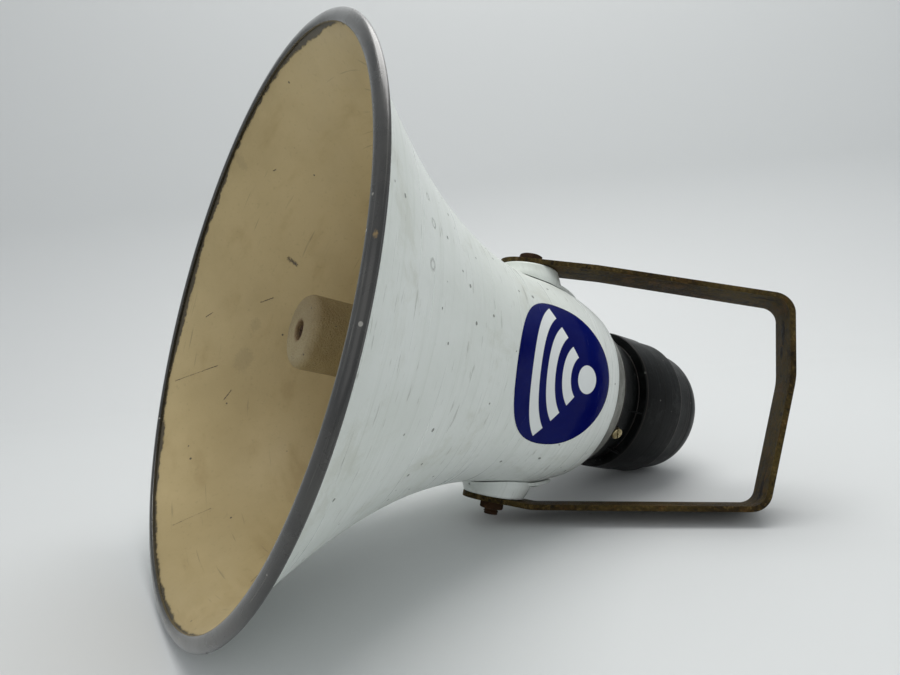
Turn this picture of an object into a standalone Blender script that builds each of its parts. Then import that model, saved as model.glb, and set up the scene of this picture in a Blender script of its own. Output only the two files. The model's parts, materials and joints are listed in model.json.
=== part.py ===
"""Re-entrant horn loudspeaker with a U-shaped mounting yoke, lying at rest on a flat surface.

The horn frame has +Y along the bell axis from the mouth to the driver, +Z along the yoke's bolt
axis and its origin at the centre of the mouth. An empty tilts and rolls that frame so that the
rim, the driver's cover and the yoke touch z = 0. Turned pieces are drawn as (radius, depth)
outlines, with depth measured behind the mouth. Every length is in metres and every angle in
degrees until it is used.
"""
import math

import bmesh
import bpy
from mathutils import Matrix, Vector

# Fits shared by all pieces
GAP = 0.0003             # between faces that touch
SHANK_CLEARANCE = 0.0003  # around a bolt, screw or rivet shank
SEAM = 0.00001           # merge distance of turned and mirrored meshes

# Bell
MOUTH_RADIUS = 0.1553    # outside of the rim trim
BELL_LENGTH = 0.2185     # mouth plane to rear edge
FLARE_LENGTH = 0.171     # mouth plane to the start of the neck
FLARE_POWER = 1.9
NECK_RADIUS = 0.0669
REAR_RADIUS = 0.0587
SHOULDER_LENGTH = 0.0445  # rear part over which the neck closes in
BELL_WALL = 0.0015
TRIM_HALF_WIDTH = 0.0041  # of the trim's oval section
TRIM_HALF_DEPTH = 0.0020
TRIM_LEAN = 20.0         # of the oval's long side, its outer edge turned back from the mouth

# Reflector and tone arm
NOSE_DEPTH = 0.0338      # mouth plane to the nose's front face
NOSE_RADIUS = 0.0206
NOSE_ROUNDING = 0.0052
NOSE_LENGTH = 0.022      # straight part of the nose
REFLECTOR_END = 0.185    # depth of its open rear edge
REFLECTOR_RADIUS = 0.0455
REFLECTOR_POWER = 1.7
REFLECTOR_WALL = 0.0013
DIMPLE_RADIUS = 0.00535
DIMPLE_DEPTH = 0.004
ARM_FRONT = 0.070
ARM_BORE_FRONT = 0.0115
THROAT_RADIUS = 0.0080
ARM_WALL = 0.0020
SPIDER_LENGTH = 0.012
SPIDER_HUB_RADIUS = 0.0048
SPIDER_WEB = 0.0022
REFLECTOR_SCREW_RADIUS = 0.0022
REFLECTOR_SCREW_HEAD = 0.0041
REFLECTOR_SCREW_HEAD_HEIGHT = 0.0024
REFLECTOR_SCREW_LENGTH = 0.014

# Throat plate and rear collar
PLATE_THICKNESS = 0.0065
ARM_SHOULDER = 0.0045    # thickness of the ring that seats the arm on the plate
ARM_SHOULDER_RADIUS = 0.018
COLLAR_LENGTH = 0.0144
COLLAR_FRONT_INSET = 0.0010
COLLAR_REAR_RADIUS = 0.0506
NIPPLE_RADIUS = 0.0170
NIPPLE_LENGTH = 0.0120
PLATE_SCREW_CIRCLE = 0.0360
PLATE_SCREW_RADIUS = 0.0025
PLATE_SCREW_HEAD = 0.0045
PLATE_SCREW_HEAD_HEIGHT = 0.0025
GASKET_THICKNESS = 0.0008

# Driver, from front to back
HOUSING_LENGTH = 0.0231
HOUSING_FRONT_RADIUS = 0.0495
HOUSING_REAR_RADIUS = 0.0419
HOUSING_FLOOR = 0.0040   # between the nipple's socket and the diaphragm chamber
RING_RADIUS = 0.0482
RING_LENGTH = 0.0187
RING_WALL = 0.0045
COVER_LENGTH = 0.0490
COVER_FRONT_RADIUS = 0.0476
COVER_STEP = 0.0170      # front edge to the small step round the can
COVER_STEP_DROP = 0.0012
COVER_REAR_RADIUS = 0.0434  # where the can starts to round off
COVER_ROUND_LENGTH = 0.0165
COVER_FLAT_RADIUS = 0.0280
COVER_WALL = 0.0030
COVER_SCREW_RADIUS = 0.0025
COVER_SCREW_HEAD = 0.0048
COVER_SCREW_HEAD_HEIGHT = 0.0028
PLUG_RADIUS = 0.0200
PLUG_AIR = 0.0009        # between the plug and the resting dome
PLUG_RING_LENGTH = 0.0050
PLUG_RING_WALL = 0.0020
PLUG_WEB = 0.0016
CHAMBER_RADIUS = 0.0290
DOME_RADIUS = 0.0240
DOME_RISE = 0.0040
DOME_WALL = 0.0004
FORMER_LENGTH = 0.0080
FORMER_WALL = 0.0005
COIL_THICKNESS = 0.0006
COIL_LENGTH = 0.0045
COIL_AIR = 0.0005        # on each side of the coil in the magnetic gap
SURROUND_WIDTH = 0.0075
SURROUND_THICKNESS = 0.0005
TOP_PLATE_THICKNESS = 0.0050
MAGNET_LENGTH = 0.0220
MAGNET_WALL = 0.0110
BACK_PLATE_THICKNESS = 0.0050
MOTOR_RADIUS = 0.0415

# Terminals and ribs on the driver's front housing
TERMINAL_ANGLES = (118.6, 298.6)  # from the upper bolt towards +X, round the bell axis
TERMINAL_SETBACK = 0.0050         # behind the housing's front face
TERMINAL_HEAD = 0.0038
TERMINAL_HEAD_HEIGHT = 0.0024
TERMINAL_SHANK = 0.0016
TERMINAL_LENGTH = 0.0100
SLOT_WIDTH = 0.0009
SLOT_DEPTH = 0.0009
RIB_SPREAD = 19.0        # between a terminal and the rib on each side of it
RIB_WIDTH = 0.0013
RIB_HEIGHT = 0.0010

# Yoke and its bolts
BOLT_DEPTH = 0.1813      # bolt axis behind the mouth plane
BOSS_HEIGHT = 0.0079     # pad above the neck
BOSS_TOP_RADIUS = 0.0198
BOSS_BASE_RADIUS = 0.0228
BOSS_ROUNDING = 0.0020
FLANGE_OFFSET = 0.0095   # centre of the oval flange behind the bolt axis
FLANGE_HALF_LENGTH = 0.0310
FLANGE_HALF_WIDTH = 0.0200
FLANGE_THICKNESS = 0.0020
FLANGE_STANDOFF = 0.0008
RIVET_SETBACK = 0.0255   # behind the bolt axis
RIVET_SPREAD = 0.0075    # each side of the bell's top line
RIVET_RADIUS = 0.0016
RIVET_HEAD = 0.0030
RIVET_HEAD_HEIGHT = 0.0014
BOLT_RADIUS = 0.00476
HEX_RADIUS = 0.00825     # centre to corner of the bolt head and nut
HEAD_HEIGHT = 0.0058
NUT_HEIGHT = 0.0050
STUD_PROUD = 0.0034
STRAP_WIDTH = 0.03175
STRAP_THICKNESS = 0.0032
STRAP_HOLE_CLEARANCE = 0.0005
STRAP_TIP = 0.0195       # bolt axis to the rounded end
CORNER_RADIUS = 0.0125
YOKE_REACH = 0.1650      # bolt axis to the furthest point of the crossbar
CROSSBAR_CROWN = 0.0240  # height of that point above the bell axis
UPPER_BEND = 0.0450      # bolt axis to where the upper arm starts to drop
UPPER_DROP = 0.0055
UPPER_BOW = 0.0048
LOWER_BEND = 0.0260
LOWER_DROP = 0.0243
LOWER_BOW = 0.0071
YOKE_TURN = 46.0         # crossbar turned towards +X from straight back

# Facets round a full turn
BELL_FACETS = 52
ROUND_FACETS = 36
INNER_FACETS = 28
SMALL_FACETS = 12


def trim_bulge(angle):
    """Reach of the trim's oval from its centre in a direction from the radius towards the rear."""
    turn = angle - math.radians(TRIM_LEAN)
    return math.hypot(TRIM_HALF_WIDTH * math.cos(turn), TRIM_HALF_DEPTH * math.sin(turn))


# Depths and radii worked out from the sizes above
LIP_RADIUS = MOUTH_RADIUS - trim_bulge(0.0)
PLATE_FRONT = BELL_LENGTH - PLATE_THICKNESS
COLLAR_FRONT = BELL_LENGTH + GAP
COLLAR_REAR = COLLAR_FRONT + COLLAR_LENGTH
NIPPLE_END = COLLAR_REAR + NIPPLE_LENGTH
HOUSING_FRONT = COLLAR_REAR + GAP
HOUSING_REAR = HOUSING_FRONT + HOUSING_LENGTH
SOCKET_END = NIPPLE_END + GASKET_THICKNESS + 2 * GAP
CHAMBER_FRONT = SOCKET_END + HOUSING_FLOOR
RING_FRONT = HOUSING_REAR + GAP
RING_REAR = RING_FRONT + RING_LENGTH
COVER_FRONT = RING_REAR + GAP
COVER_REAR = COVER_FRONT + COVER_LENGTH
DOME_EDGE = HOUSING_REAR + GAP
DOME_SEAT = DOME_EDGE + SURROUND_THICKNESS / 2
PAD_HEIGHT = NECK_RADIUS + BOSS_HEIGHT
STRAP_INNER = PAD_HEIGHT + GAP
STRAP_OUTER = STRAP_INNER + STRAP_THICKNESS
TOP_PLATE_FRONT = DOME_EDGE + SURROUND_THICKNESS + 0.0035
TOP_PLATE_REAR = TOP_PLATE_FRONT + TOP_PLATE_THICKNESS
MAGNET_FRONT = TOP_PLATE_REAR + GAP
MAGNET_REAR = MAGNET_FRONT + MAGNET_LENGTH
BACK_FRONT = MAGNET_REAR + GAP
BACK_REAR = BACK_FRONT + BACK_PLATE_THICKNESS
SHANK_END = NECK_RADIUS + 2 * FLANGE_STANDOFF


def collection(name):
    group = bpy.data.collections.new(name)
    bpy.context.scene.collection.children.link(group)
    return group


def material(name, colour, roughness, metallic=0.0):
    made = bpy.data.materials.new(name)
    made.use_nodes = True
    shader = made.node_tree.nodes["Principled BSDF"]
    shader.inputs["Base Color"].default_value = (*colour, 1.0)
    shader.inputs["Roughness"].default_value = roughness
    shader.inputs["Metallic"].default_value = metallic
    return made


def keep(obj, finish, parent, group):
    """Puts an object in its collection, under its frame and with its material."""
    for owner in list(obj.users_collection):
        owner.objects.unlink(obj)
    group.objects.link(obj)
    obj.parent = parent
    if finish:
        obj.data.materials.append(finish)
    if group is CUTTERS:
        obj.hide_render = True
        obj.display_type = "WIRE"
    return obj


def frame(name, parent, location=(0, 0, 0), rotation=(0, 0, 0)):
    empty = bpy.data.objects.new(name, None)
    PARTS.objects.link(empty)
    empty.parent = parent
    empty.location = location
    empty.rotation_euler = rotation
    empty.empty_display_size = 0.03
    return empty


def smooth(mesh, angle=32.0):
    mesh.shade_smooth()
    mesh.set_sharp_from_angle(angle=math.radians(angle))


def turned(name, outline, finish, parent, group=None, facets=ROUND_FACETS, solid=False):
    """Turns an outline of (radius, depth) points, listed down its outer side first.

    A solid piece's outline starts and ends on the axis; any other outline is closed into a ring.
    """
    mesh = bpy.data.meshes.new(name)
    points = [(radius, 0.0, depth) for radius, depth in outline]
    edges = [(i, i + 1) for i in range(len(points) - 1)]
    if not solid:
        edges.append((len(points) - 1, 0))
    mesh.from_pydata(points, edges, [])
    obj = keep(bpy.data.objects.new(name, mesh), finish, parent, group or PARTS)
    screw = obj.modifiers.new("Turn", "SCREW")
    screw.axis = "Z"
    screw.angle = math.tau
    screw.steps = facets
    screw.render_steps = facets
    screw.use_merge_vertices = True
    screw.merge_threshold = SEAM
    screw.use_smooth_shade = True
    return obj


def rod(name, radius, bottom, top, finish, parent, group=None, facets=SMALL_FACETS, turn=0.0):
    """A prism or cylinder along its frame's Z, from bottom to top."""
    mesh = bpy.data.meshes.new(name)
    builder = bmesh.new()
    placed = Matrix.Translation((0, 0, (bottom + top) / 2)) @ Matrix.Rotation(turn, 4, "Z")
    bmesh.ops.create_cone(builder, cap_ends=True, segments=facets, radius1=radius,
                          radius2=radius, depth=top - bottom, matrix=placed)
    builder.to_mesh(mesh)
    builder.free()
    if facets > 6:
        smooth(mesh)
    return keep(bpy.data.objects.new(name, mesh), finish, parent, group or PARTS)


def block(name, size, centre, finish, parent, group=None, turn=0.0):
    """A box of the given size about a centre, turned about its frame's Z."""
    mesh = bpy.data.meshes.new(name)
    builder = bmesh.new()
    bmesh.ops.create_cube(builder, size=1.0)
    bmesh.ops.scale(builder, vec=size, verts=builder.verts)
    bmesh.ops.translate(builder, vec=centre, verts=builder.verts)
    bmesh.ops.rotate(builder, cent=(0, 0, 0), matrix=Matrix.Rotation(turn, 3, "Z"),
                     verts=builder.verts)
    builder.to_mesh(mesh)
    builder.free()
    return keep(bpy.data.objects.new(name, mesh), finish, parent, group or PARTS)


def combine(obj, operation, other):
    """Adds an exact Boolean that joins, cuts or trims obj with another closed object."""
    step = obj.modifiers.new(operation.title(), "BOOLEAN")
    step.operation = operation
    step.solver = "EXACT"
    step.object = other
    return obj


def arc(centre, radius, start, end, steps):
    """Points of an arc in an outline, from one angle to another, both ends included."""
    angles = [math.radians(start + (end - start) * i / steps) for i in range(steps + 1)]
    return [(centre[0] + radius * math.cos(a), centre[1] + radius * math.sin(a)) for a in angles]


def bell_radius(depth):
    """Outer radius of the bell: a power-law flare, a straight neck and a closing shoulder."""
    if depth < FLARE_LENGTH:
        rest = max(0.0, 1.0 - depth / FLARE_LENGTH)
        return NECK_RADIUS + (LIP_RADIUS - NECK_RADIUS) * rest ** FLARE_POWER
    share = max(0.0, (depth - BELL_LENGTH + SHOULDER_LENGTH) / SHOULDER_LENGTH)
    return NECK_RADIUS - (NECK_RADIUS - REAR_RADIUS) * share ** 2


def bell_normal(depth):
    """Unit normal of the bell's outside, as (radius, depth)."""
    step = 0.0005
    slope = (bell_radius(depth + step) - bell_radius(depth - step)) / (2 * step)
    length = math.hypot(1.0, slope)
    return 1.0 / length, -slope / length


def bell_line(depths, offset):
    """Points at a distance from the bell's outside; negative is inside."""
    points = []
    for depth in depths:
        out, back = bell_normal(depth)
        points.append((bell_radius(depth) + offset * out, depth + offset * back))
    return points


def bell_depths(front, rear, flare_steps, rear_steps):
    """Depths along the bell, closer together towards the mouth and over the shoulder."""
    start = BELL_LENGTH - SHOULDER_LENGTH
    flare = [front + (start - front) * (i / flare_steps) ** 1.25 for i in range(flare_steps)]
    shoulder = [start + (rear - start) * i / rear_steps for i in range(rear_steps + 1)]
    return flare + shoulder


def build_bell():
    depths = bell_depths(0.0, BELL_LENGTH, 10, 5)
    outside = bell_line(depths, 0.0)
    inside = bell_line(depths, -BELL_WALL)
    inside[-1] = (REAR_RADIUS - BELL_WALL, BELL_LENGTH)
    turned("bell", outside[::-1] + inside, PAINT, TURNED, facets=BELL_FACETS)


def build_rim_trim():
    """A rubber strip of oval section, with a slot that takes the bell's edge."""
    out, back = bell_normal(0.0)
    along = Vector((-back, out))  # down the flare, as (radius, depth)
    across = Vector((out, back))
    centre = Vector((LIP_RADIUS, 0.0))
    lean = math.radians(TRIM_LEAN)
    facing = math.atan2(back, out) - lean
    reach = math.hypot(TRIM_HALF_WIDTH * math.cos(facing), TRIM_HALF_DEPTH * math.sin(facing))
    start = math.atan2(TRIM_HALF_DEPTH * math.sin(facing), TRIM_HALF_WIDTH * math.cos(facing))
    outer_side = GAP                  # sides of the slot, measured across from the centre
    inner_side = -BELL_WALL - GAP
    first = start + math.acos(outer_side / reach)
    last = start + math.acos(inner_side / reach) - math.tau
    steps = 12
    turn = Matrix.Rotation(lean, 2)
    outline = []
    for i in range(steps + 1):
        angle = first + (last - first) * i / steps
        oval = Vector((TRIM_HALF_WIDTH * math.cos(angle), TRIM_HALF_DEPTH * math.sin(angle)))
        outline.append(tuple(centre + turn @ oval))
    floor = centre - along * GAP
    outline += [tuple(floor + across * inner_side), tuple(floor + across * outer_side)]
    turned("rim_trim", outline, RUBBER, TURNED, facets=BELL_FACETS)


def reflector_radius(depth):
    start = NOSE_DEPTH + NOSE_LENGTH
    share = max(0.0, (depth - start) / (REFLECTOR_END - start))
    return NOSE_RADIUS + (REFLECTOR_RADIUS - NOSE_RADIUS) * share ** REFLECTOR_POWER


def build_reflector():
    start = NOSE_DEPTH + NOSE_LENGTH
    depths = [start + (REFLECTOR_END - start) * i / 6 for i in range(7)]
    wall = REFLECTOR_WALL
    corner = (NOSE_RADIUS - NOSE_ROUNDING, NOSE_DEPTH + NOSE_ROUNDING)
    floor = NOSE_DEPTH + DIMPLE_DEPTH
    hole = REFLECTOR_SCREW_RADIUS + SHANK_CLEARANCE
    outside = [(reflector_radius(depth), depth) for depth in reversed(depths)]
    outside += arc(corner, NOSE_ROUNDING, 0, -90, 4)
    outside += [(DIMPLE_RADIUS + 0.0006, NOSE_DEPTH), (DIMPLE_RADIUS, NOSE_DEPTH + 0.0006)]
    outside += [(DIMPLE_RADIUS, floor), (hole, floor)]
    inside = [(hole, floor + wall), (DIMPLE_RADIUS + wall, floor + wall)]
    inside += [(DIMPLE_RADIUS + wall, NOSE_DEPTH + wall)]
    inside += arc(corner, NOSE_ROUNDING - wall, -90, 0, 3)
    inside += [(reflector_radius(depth) - wall, depth) for depth in depths]
    turned("reflector", outside + inside, INNER_PAINT, TURNED, facets=ROUND_FACETS)


def arm_bore(depth):
    share = (depth - ARM_FRONT) / (BELL_LENGTH - ARM_FRONT)
    return ARM_BORE_FRONT + (THROAT_RADIUS - ARM_BORE_FRONT) * share


def build_tone_arm():
    rear = PLATE_FRONT - GAP
    shoulder = rear - ARM_SHOULDER
    spigot_end = BELL_LENGTH
    wall = ARM_WALL
    outside = [(arm_bore(spigot_end) + wall, spigot_end), (arm_bore(rear) + wall, rear)]
    outside += [(ARM_SHOULDER_RADIUS, rear), (ARM_SHOULDER_RADIUS, shoulder)]
    outside += [(arm_bore(shoulder) + wall, shoulder), (arm_bore(ARM_FRONT) + wall, ARM_FRONT)]
    inside = [(arm_bore(ARM_FRONT), ARM_FRONT), (arm_bore(spigot_end), spigot_end)]
    turned("tone_arm", outside + inside, CAST_GREY, TURNED, facets=INNER_FACETS)


def build_spider():
    """A hub on three webs inside the tone arm's front, with a boss that carries the nose."""
    front = NOSE_DEPTH + DIMPLE_DEPTH + REFLECTOR_WALL + GAP
    rear = ARM_FRONT + SPIDER_LENGTH
    web_front = ARM_FRONT + 0.001
    hub = rod("reflector_spider", SPIDER_HUB_RADIUS, front, rear, CAST_GREY, TURNED)
    for i in range(3):
        turn = math.radians(90 + 120 * i)
        size = (ARM_BORE_FRONT, SPIDER_WEB, rear - web_front)
        centre = (ARM_BORE_FRONT / 2 + 0.0015, 0.0, (rear + web_front) / 2)
        web = block(f"spider_web_{i + 1}", size, centre, None, TURNED, CUTTERS, turn)
        combine(hub, "UNION", web)
    reach = ARM_BORE_FRONT - GAP
    taper = [(0, rear + 0.001), (arm_bore(rear + 0.001) - GAP, rear + 0.001)]
    taper += [(reach, ARM_FRONT), (reach, front - 0.001), (0, front - 0.001)]
    combine(hub, "INTERSECT", turned("spider_trim", taper, None, TURNED, CUTTERS,
                                     facets=INNER_FACETS, solid=True))
    hole_end = front + REFLECTOR_SCREW_LENGTH
    hole_radius = REFLECTOR_SCREW_RADIUS + SHANK_CLEARANCE
    hole = rod("spider_hole", hole_radius, front - 0.001, hole_end, None, TURNED, CUTTERS)
    combine(hub, "DIFFERENCE", hole)


def screw_outline(shank, head, under_head, height, end):
    """A round-headed screw from its domed head, at the front, to its end."""
    top = under_head - height
    return [(0, end), (shank, end), (shank, under_head), (head, under_head),
            (head, under_head - 0.55 * height), (head * 0.7, top + 0.0002), (0, top)]


def slot_cutter(name, top, parent):
    size = (0.02, SLOT_WIDTH, 2 * SLOT_DEPTH)
    return block(name, size, (0, 0, top), None, parent, CUTTERS)


def build_reflector_screw():
    under_head = NOSE_DEPTH + DIMPLE_DEPTH - GAP
    height = REFLECTOR_SCREW_HEAD_HEIGHT
    end = under_head + REFLECTOR_SCREW_LENGTH
    outline = screw_outline(REFLECTOR_SCREW_RADIUS, REFLECTOR_SCREW_HEAD, under_head, height, end)
    obj = turned("reflector_screw", outline, RUSTY_STEEL, TURNED, facets=SMALL_FACETS, solid=True)
    combine(obj, "DIFFERENCE", slot_cutter("reflector_screw_slot", under_head - height, TURNED))


def plate_screw_frames(prefix):
    for i in range(3):
        turn = math.radians(30 + 120 * i)
        across = PLATE_SCREW_CIRCLE * math.cos(turn)
        up = PLATE_SCREW_CIRCLE * math.sin(turn)
        yield i + 1, frame(f"{prefix}_{i + 1}_place", TURNED, (across, up, 0.0))


def build_throat_plate():
    """The plate inside the bell's rear, which the tone arm enters and the collar clamps."""
    depths = [PLATE_FRONT + PLATE_THICKNESS * i / 3 for i in range(4)]
    rim = bell_line(depths, -BELL_WALL - GAP)
    rim[-1] = (REAR_RADIUS - BELL_WALL - GAP, BELL_LENGTH)
    rim[0] = (rim[0][0], PLATE_FRONT)
    bore = arm_bore(PLATE_FRONT) + ARM_WALL + GAP
    outline = rim[::-1] + [(bore, PLATE_FRONT), (bore, BELL_LENGTH)]
    plate = turned("throat_plate", outline, CAST_GREY, TURNED)
    for number, place in plate_screw_frames("plate_hole"):
        hole = rod(f"plate_hole_{number}", PLATE_SCREW_RADIUS + SHANK_CLEARANCE,
                   PLATE_FRONT - 0.002, BELL_LENGTH + 0.002, None, place, CUTTERS)
        combine(plate, "DIFFERENCE", hole)


def build_plate_screws():
    end = COLLAR_FRONT + GASKET_THICKNESS + 0.007
    for number, place in plate_screw_frames("plate_screw"):
        under_head = PLATE_FRONT - GAP
        outline = screw_outline(PLATE_SCREW_RADIUS, PLATE_SCREW_HEAD, under_head,
                                PLATE_SCREW_HEAD_HEIGHT, end)
        screw = turned(f"plate_screw_{number}", outline, DULL_STEEL, place,
                       facets=SMALL_FACETS, solid=True)
        top = under_head - PLATE_SCREW_HEAD_HEIGHT
        combine(screw, "DIFFERENCE", slot_cutter(f"plate_screw_slot_{number}", top, place))


def build_collar():
    """The outer collar, recessed for its gasket, with the nipple that takes the driver."""
    gasket_outer = REAR_RADIUS - 0.006
    gasket_inner = gasket_outer - 0.009
    recess = COLLAR_FRONT + GASKET_THICKNESS + GAP
    front_radius = REAR_RADIUS - COLLAR_FRONT_INSET
    outside = [(NIPPLE_RADIUS, NIPPLE_END), (NIPPLE_RADIUS, COLLAR_REAR)]
    outside += [(COLLAR_REAR_RADIUS - 0.0008, COLLAR_REAR), (COLLAR_REAR_RADIUS, COLLAR_REAR - 0.0008)]
    outside += [(front_radius, COLLAR_FRONT + 0.0012), (front_radius, COLLAR_FRONT)]
    front = [(gasket_outer + GAP, COLLAR_FRONT), (gasket_outer + GAP, recess)]
    front += [(gasket_inner - GAP, recess), (gasket_inner - GAP, COLLAR_FRONT)]
    front += [(THROAT_RADIUS, COLLAR_FRONT), (THROAT_RADIUS, NIPPLE_END)]
    collar = turned("rear_collar", outside + front, BARE_METAL, TURNED)
    for number, place in plate_screw_frames("collar_hole"):
        hole = rod(f"collar_hole_{number}", PLATE_SCREW_RADIUS + SHANK_CLEARANCE,
                   COLLAR_FRONT - 0.002, COLLAR_FRONT + GASKET_THICKNESS + 0.008, None, place,
                   CUTTERS)
        combine(collar, "DIFFERENCE", hole)
    bottom = COLLAR_FRONT + GAP
    top = recess - GAP
    gasket = [(gasket_outer, top), (gasket_outer, bottom), (gasket_inner, bottom),
              (gasket_inner, top)]
    turned("collar_gasket", gasket, CORK, TURNED, facets=INNER_FACETS)


def build_throat_gasket():
    front = NIPPLE_END + GAP
    rear = front + GASKET_THICKNESS
    outer = NIPPLE_RADIUS - GAP
    inner = THROAT_RADIUS + 0.001
    outline = [(outer, rear), (outer, front), (inner, front), (inner, rear)]
    turned("throat_gasket", outline, CORK, TURNED, facets=INNER_FACETS)


def housing_radius(depth):
    share = (depth - HOUSING_FRONT) / HOUSING_LENGTH
    return HOUSING_FRONT_RADIUS + (HOUSING_REAR_RADIUS - HOUSING_FRONT_RADIUS) * share


def terminal_frame(number, angle, purpose):
    """A frame on the housing's cone with +Z along the screw, pointing outwards."""
    depth = HOUSING_FRONT + TERMINAL_SETBACK
    around = math.radians(angle)
    outward = Vector((math.sin(around), 0.0, math.cos(around)))
    place = frame(f"{purpose}_{number}", HORN)
    place.location = Vector((0.0, depth, 0.0)) + outward * housing_radius(depth)
    place.rotation_mode = "QUATERNION"
    place.rotation_quaternion = outward.to_track_quat("Z", "Y")
    return place


def build_front_housing():
    """The moulded front: a socket for the nipple, the throat and the diaphragm chamber."""
    bore = NIPPLE_RADIUS + GAP
    step = 0.0010
    outside = [(HOUSING_REAR_RADIUS, HOUSING_REAR)]
    outside += [(HOUSING_FRONT_RADIUS, HOUSING_FRONT + step)]
    outside += [(HOUSING_FRONT_RADIUS - step, HOUSING_FRONT)]
    inside = [(bore, HOUSING_FRONT), (bore, SOCKET_END), (THROAT_RADIUS + 0.0005, SOCKET_END)]
    inside += [(THROAT_RADIUS + 0.002, CHAMBER_FRONT), (CHAMBER_RADIUS, CHAMBER_FRONT)]
    inside += [(CHAMBER_RADIUS, HOUSING_REAR)]
    housing = turned("front_housing", outside + inside, PHENOLIC, TURNED)
    for number, angle in enumerate(TERMINAL_ANGLES, start=1):
        for side in (-1, 1):
            turn = math.radians(angle + side * RIB_SPREAD)
            place = frame(f"rib_place_{number}_{side + 2}", HORN, rotation=(0, turn, 0))
            build_rib(housing, f"housing_rib_{number}_{side + 2}", place)
        place = terminal_frame(number, angle, "terminal_bore_place")
        bore_depth = TERMINAL_LENGTH + 0.004
        hole = rod(f"terminal_bore_{number}", TERMINAL_SHANK + SHANK_CLEARANCE, -bore_depth, 0.003,
                   None, place, CUTTERS)
        combine(housing, "DIFFERENCE", hole)
        pocket = rod(f"terminal_pocket_{number}", TERMINAL_HEAD + 0.0008, -0.0004, 0.006, None,
                     place, CUTTERS)
        combine(housing, "DIFFERENCE", pocket)


def build_rib(housing, name, place):
    """A raised rib that follows the cone from end to end."""
    length = HOUSING_LENGTH - 0.003
    middle = HOUSING_FRONT + HOUSING_LENGTH / 2
    taper = (HOUSING_FRONT_RADIUS - HOUSING_REAR_RADIUS) / HOUSING_LENGTH
    rib = block(name, (RIB_WIDTH, length, 2 * RIB_HEIGHT + 0.001), (0, 0, 0), None, place, CUTTERS)
    rib.location = (0.0, middle, housing_radius(middle) - 0.0005)
    rib.rotation_euler = (-math.atan(taper), 0.0, 0.0)
    combine(housing, "UNION", rib)


def build_terminals():
    for number, angle in enumerate(TERMINAL_ANGLES, start=1):
        place = terminal_frame(number, angle, "terminal_place")
        head = GAP - 0.0004
        profile = [(0, head + TERMINAL_HEAD_HEIGHT)]
        profile += [(TERMINAL_HEAD * 0.72, head + TERMINAL_HEAD_HEIGHT - 0.0002)]
        profile += [(TERMINAL_HEAD, head + 0.55 * TERMINAL_HEAD_HEIGHT), (TERMINAL_HEAD, head)]
        profile += [(TERMINAL_SHANK, head), (TERMINAL_SHANK, -TERMINAL_LENGTH)]
        profile += [(0, -TERMINAL_LENGTH)]
        screw = turned(f"terminal_screw_{number}", profile, BRASS, place, facets=SMALL_FACETS,
                       solid=True)
        combine(screw, "DIFFERENCE",
                slot_cutter(f"terminal_slot_{number}", head + TERMINAL_HEAD_HEIGHT, place))


def dome_front(radius):
    """Depth of the dome's front face, a part of a sphere that bulges towards the mouth."""
    sphere = (DOME_RADIUS ** 2 + DOME_RISE ** 2) / (2 * DOME_RISE)
    return DOME_SEAT - DOME_RISE + sphere - math.sqrt(sphere ** 2 - radius ** 2)


def build_phasing_plug():
    """A cone that splits the sound path, on three webs inside a ring that fits the chamber."""
    front = CHAMBER_FRONT + GAP
    rear = front + PLUG_RING_LENGTH
    ring_outer = CHAMBER_RADIUS - GAP
    ring_inner = ring_outer - PLUG_RING_WALL
    radii = [PLUG_RADIUS * i / 5 for i in range(6)]
    back = [(radius, dome_front(radius) - PLUG_AIR) for radius in radii]
    edge = back[-1][1] - PLUG_WEB
    cone = back + [(PLUG_RADIUS, edge), (THROAT_RADIUS * 0.55, front + GAP), (0, front)]
    plug = turned("phasing_plug", cone, PHENOLIC, TURNED, facets=INNER_FACETS, solid=True)
    ring = [(ring_outer, rear), (ring_outer, front), (ring_inner, front), (ring_inner, rear)]
    combine(plug, "UNION", turned("plug_ring", ring, None, TURNED, CUTTERS, facets=INNER_FACETS))
    overlap = 0.0015
    for i in range(3):
        reach = (ring_inner + PLUG_RADIUS) / 2
        size = (ring_inner - PLUG_RADIUS + 2 * overlap, PLUG_WEB, PLUG_WEB * 0.6)
        web = block(f"plug_web_{i + 1}", size, (reach, 0, edge + PLUG_WEB * 0.4), None, TURNED,
                    CUTTERS, math.radians(120 * i))
        combine(plug, "UNION", web)


def build_moving_coil():
    """The dome and its former, which move together along the bell axis with the coil."""
    former_end = DOME_SEAT + FORMER_LENGTH
    outer = DOME_RADIUS
    inner = outer - FORMER_WALL
    radii = [outer * i / 7 for i in range(8)]
    front = [(radius, dome_front(radius)) for radius in radii]
    back = [(radius, dome_front(radius) + DOME_WALL) for radius in radii[:-1]]
    outline = back + [(inner, DOME_SEAT + DOME_WALL), (inner, former_end), (outer, former_end)]
    outline += front[::-1]
    turned("diaphragm", outline, DIAPHRAGM, DRIVE, facets=INNER_FACETS, solid=True)
    coil_inner = outer + 0.0002
    coil_outer = coil_inner + COIL_THICKNESS
    top = former_end
    bottom = former_end - COIL_LENGTH
    coil = [(coil_outer, top), (coil_outer, bottom), (coil_inner, bottom), (coil_inner, top)]
    turned("voice_coil", coil, COPPER, DRIVE, facets=INNER_FACETS)


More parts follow.
